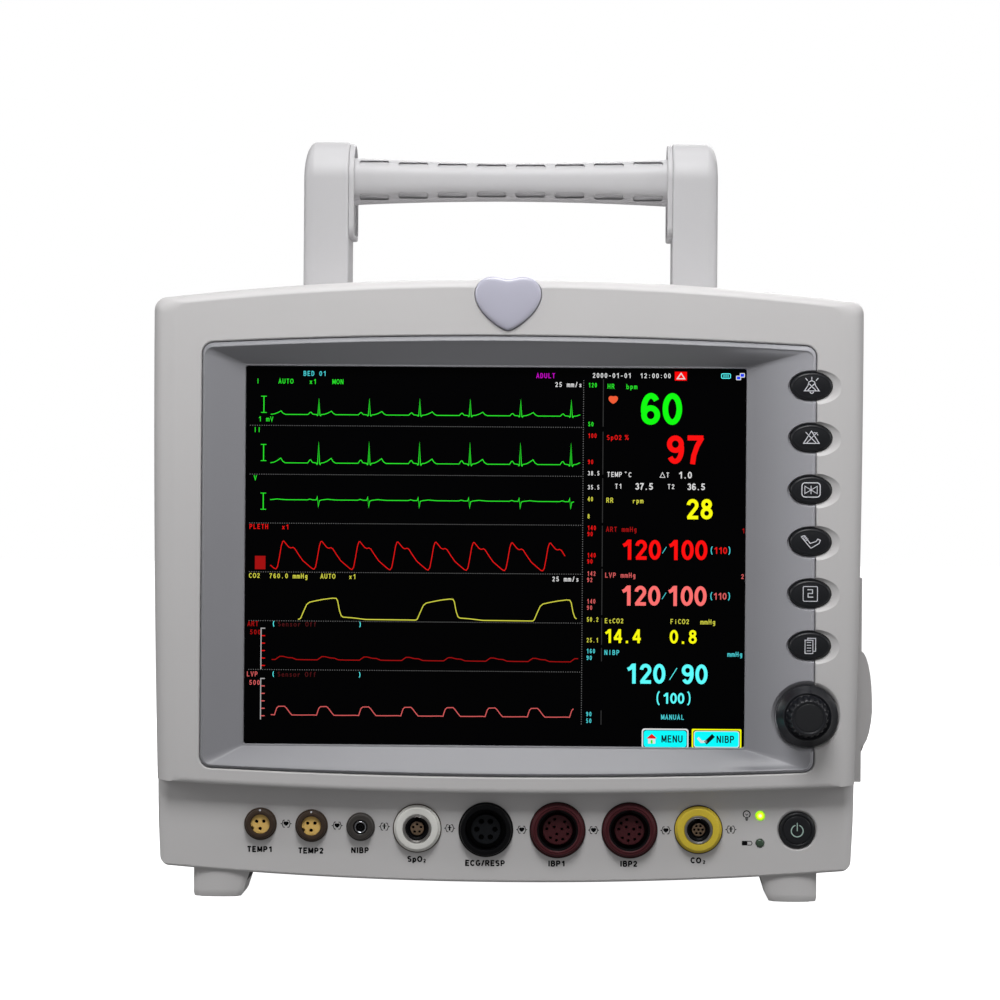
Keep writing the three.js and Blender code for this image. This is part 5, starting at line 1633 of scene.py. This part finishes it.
def ports():
    """The mains inlet's flange and pins, and the network port's contacts."""
    def outline(grow, corner):
        return rounded_box(INLET.x, INLET.z, INLET.wide, INLET.tall, corner, 6, grow)
    rim = shape("inlet_flange", loft([ring(outline(1 + grow, 2.6 + grow), REAR_FACE + y)
                                      for grow, y in ((0.4, 0.02), (0.4, 1.2), (0.1, 1.7), (-0.4, 1.8))]))
    cut(rim, loft([ring(outline(-2.2, 2.5), REAR_FACE + y) for y in (-2, 4)]))
    finish_piece(rim, DARK_PLASTIC)
    pins = [block(x - 1, x + 1, REAR_FACE - 16, REAR_FACE - 3.5, z - 2, z + 2) for x, z in (
        (INLET.x - 7, INLET.z - 2.2), (INLET.x, INLET.z + 2.2), (INLET.x + 7, INLET.z - 2.2))]
    finish_piece(shape("inlet_pins", *pins), BRIGHT_METAL)
    contacts = [block(x, x + 0.5, REAR_FACE - 13, REAR_FACE - 2.5, NETWORK.z + 3.0, NETWORK.z + 3.4)
                for x in (NETWORK.x - 4.4 + i * 1.25 for i in range(8))]
    finish_piece(shape("network_contacts", *contacts), BRASS)


def arm_plugs():
    """Round plugs over the screws that hold the handle's arms."""
    crown = [(0, -1.2), (5.2, -1.2), (5.2, 0.15), (4.9, 0.4), (3, 0.5), (0, 0.52)]
    for title, side in SIDES:
        profile = [(radius, side * (ARM.x1 - 0.9) + side * out) for radius, out in crown]
        for z in (312, 345):
            plug = shape(f"arm_plug_{title}_{z}", side_lathe(profile, ARM.y, z))
            finish_piece(plug, PLUG_GREY)


LATCH, BATTERY_DOOR = Span("recorder_latch"), Span("battery_door")
DOOR_FACE = BATTERY_DOOR.x0
# Ridges on the recorder's latch, and the battery door's finger scoop and grip lines.
LATCH_RIDGES = [side_slot(LATCH.x1 - 2.0, LATCH.x1 + 3, y - 0.5, y + 0.5, LATCH.z0 + 2, LATCH.z1 - 2, 0.4)
                for y in (LATCH.y + step for step in (-6, -3, 0, 3, 6))]
FINGER_SCOOP = side_lathe([(0, DOOR_FACE - 3), (5.5, DOOR_FACE - 3), (5.2, DOOR_FACE - 0.01),
                           (4.2, DOOR_FACE + 0.7), (0, DOOR_FACE + 1.0)], BATTERY_DOOR.y, BATTERY_DOOR.z1 - 9)
GRIP_LINES = [side_slot(DOOR_FACE - 3, DOOR_FACE + 0.6, BATTERY_DOOR.y - 12, BATTERY_DOOR.y + 12,
                        BATTERY_DOOR.z0 + 9 + step, BATTERY_DOOR.z0 + 10.2 + step, 0.5) for step in (0, 3, 6)]

# CAD solids redrawn with softer edges: the edges' radius, finish, how points move, and what is cut out.
REDRAWN = {
    "recorder_frame": (0.6, HOUSING_GREY, plate_place, []),
    "recorder_door": (0.4, HOUSING_GREY, door_place, []),
    "recorder_hinge_pin": (0, BRIGHT_METAL, pin_place, []),
    "recorder_latch": (0.5, HANDLE_GREY, latch_place, LATCH_RIDGES),
    "battery_door": (0.5, HOUSING_GREY, None, [FINGER_SCOOP] + GRIP_LINES),
    "mains_inlet": (0.4, DARK_PLASTIC, None, []),
    "network_port": (0.3, SHEET_STEEL, None, [])}


def redrawn():
    for node, (soften, material, move, tools) in REDRAWN.items():
        piece = from_node(f"{node}_body", node, soften, move)
        if tools:
            cut_apart(piece, tools)
        finish_piece(piece, material, BODY_OF[node], [node])


def bracket():
    """The steel plate under the body, thinner than the CAD's."""
    plate = Span("bracket_plate")
    low = plate.z1 - 3.2
    outline = rounded(plate.x0, plate.x1, plate.y0, plate.y1, 4, 6)
    inset = rounded(plate.x0 + 0.3, plate.x1 - 0.3, plate.y0 + 0.3, plate.y1 - 0.3, 3.7, 6)
    rings = [[(x, y, z) for x, y in points]
             for points, z in ((inset, low), (outline, low + 0.3), (outline, plate.z1))]
    finish_piece(shape("bracket_plate_body", loft(rings)), SHEET_STEEL, stands_for=["bracket_plate"])


# Finishes for the CAD solids that stay as they are.
CARRIED_OVER = {
    "lcd_module": SHEET_STEEL, "key_board": BOARD_GREEN, "encoder_shaft": BRIGHT_METAL,
    "encoder_plunger": DARK_PLASTIC, "encoder_base": SHEET_STEEL, "print_head": SHEET_STEEL,
    "battery_pack": DARK_PLASTIC, "chassis": SHEET_STEEL, "main_board": BOARD_GREEN,
    "power_supply": SHEET_STEEL, "cuff_pump": DARK_PLASTIC, "speaker": DARK_PLASTIC, "platen_roller": RUBBER_AND_PAINTED_SHADE,
    "paper_roll": PAPER}


def carried_over():
    for node, material in CARRIED_OVER.items():
        solid = frame["nodes"][node]
        for place in solid.material_slots:
            place.material = material
        if not solid.material_slots:
            solid.data.materials.append(material)


# ---- Main ------------------------------------------------------------------------------------------

front_housing()
display_surround()
window()
alarm_lamp()
for number, key in enumerate(KEYS, 1):
    key_cap(number, key)
control_knob()
power_button()
led("power_led", LED_LIT)
led_glow()
led("battery_led", LED_DARK)
key_symbols()
power_symbol()
panel_print()
display()
sockets()
handle_arm(-1)
handle_arm(1)
handle_grip()
feet()
rear_housing()
rear_fittings()
ports()
arm_plugs()
vent_screens()
redrawn()
bracket()
carried_over()


# ---- Stage ------------------------------------------------------------------------------------------

AMBIENT = {"above": 0.19, "below": 0.21}  # what lights the object from all round


def stage():
    """A pale floor that takes shadows, in a white room whose light on the object is dimmer than it looks."""
    floor_mesh = bpy.data.meshes.new("floor")
    floor_mesh.from_pydata([(-9, -9, 0), (9, -9, 0), (9, 9, 0), (-9, 9, 0)], [], [(0, 1, 2, 3)])
    floor = bpy.data.objects.new("floor", floor_mesh)
    bpy.context.scene.collection.objects.link(floor)
    floor_mesh.materials.append(surface("floor_white", (0.8, 0.8, 0.8), 0.8, grain=4, bump=0, mottle=0.01,
                                        specular=0, glow=1.3))
    floor.visible_diffuse = floor.visible_glossy = False

    sky = bpy.data.worlds.new("studio")
    bpy.context.scene.world = sky
    nodes = Nodes(sky)
    where = nodes.add("TexCoord", output="Generated")
    height = nodes.add("SeparateXYZ", {"Vector": where}, "Z")
    ambient = nodes.add("MapRange", {"Value": height, "From Min": -0.35, "From Max": 0.35,
                                     "To Min": AMBIENT["below"], "To Max": AMBIENT["above"]})
    seen = nodes.add("LightPath", output="Is Camera Ray")
    brightest = nodes.add("Math", {0: seen, 1: ambient}, operation="MAXIMUM")
    nodes.feed(sky.node_tree.nodes["Background"], {"Color": (1, 1, 1, 1), "Strength": brightest})


def soft_light(name, place, aim, size, power):
    lamp = bpy.data.lights.new(name, "AREA")
    lamp.shape, lamp.energy = "RECTANGLE", power
    lamp.size, lamp.size_y = size
    source = bpy.data.objects.new(name, lamp)
    bpy.context.scene.collection.objects.link(source)
    source.location = place
    source.rotation_euler = (Vector(aim) - Vector(place)).to_track_quat("-Z", "Y").to_euler()


# The viewpoint, in design millimetres: a long lens, straight ahead of the front and a little to its right.
VIEW = {"from": (33, -1700, 197), "to": (-3.3, 0, 197), "lens": 125.0, "roll": 0.41}


def camera():
    data = bpy.data.cameras.new("camera")
    data.sensor_width, data.lens, data.clip_end = 36, VIEW["lens"], 50
    eye = bpy.data.objects.new("camera", data)
    bpy.context.scene.collection.objects.link(eye)
    place, aim = world(VIEW["from"]), world(VIEW["to"])
    turn = Quaternion((0, 0, 1), math.radians(VIEW["roll"]))
    eye.location = place
    eye.rotation_mode = "QUATERNION"
    eye.rotation_quaternion = (aim - place).to_track_quat("-Z", "Y") @ turn
    bpy.context.scene.camera = eye


camera()
stage()
soft_light("overhead", (0.0, -0.6, 0.95), (0, 0.0, 0.2), (0.45, 0.4), 6.6)
for side in (-1, 1):
    soft_light(f"side_{side + 1}", (0.95 * side, -0.25, 0.5), (0, 0.05, 0.2), (0.4, 0.4), 1.9)
soft_light("behind", (0.3, 1.3, 0.9), (0, 0.1, 0.2), (1.0, 0.6), 7.0)
soft_light("top", (0, 0.05, 1.3), (0, 0.05, 0.3), (0.6, 0.3), 1.6)
bpy.context.scene.view_settings.view_transform = "Standard"
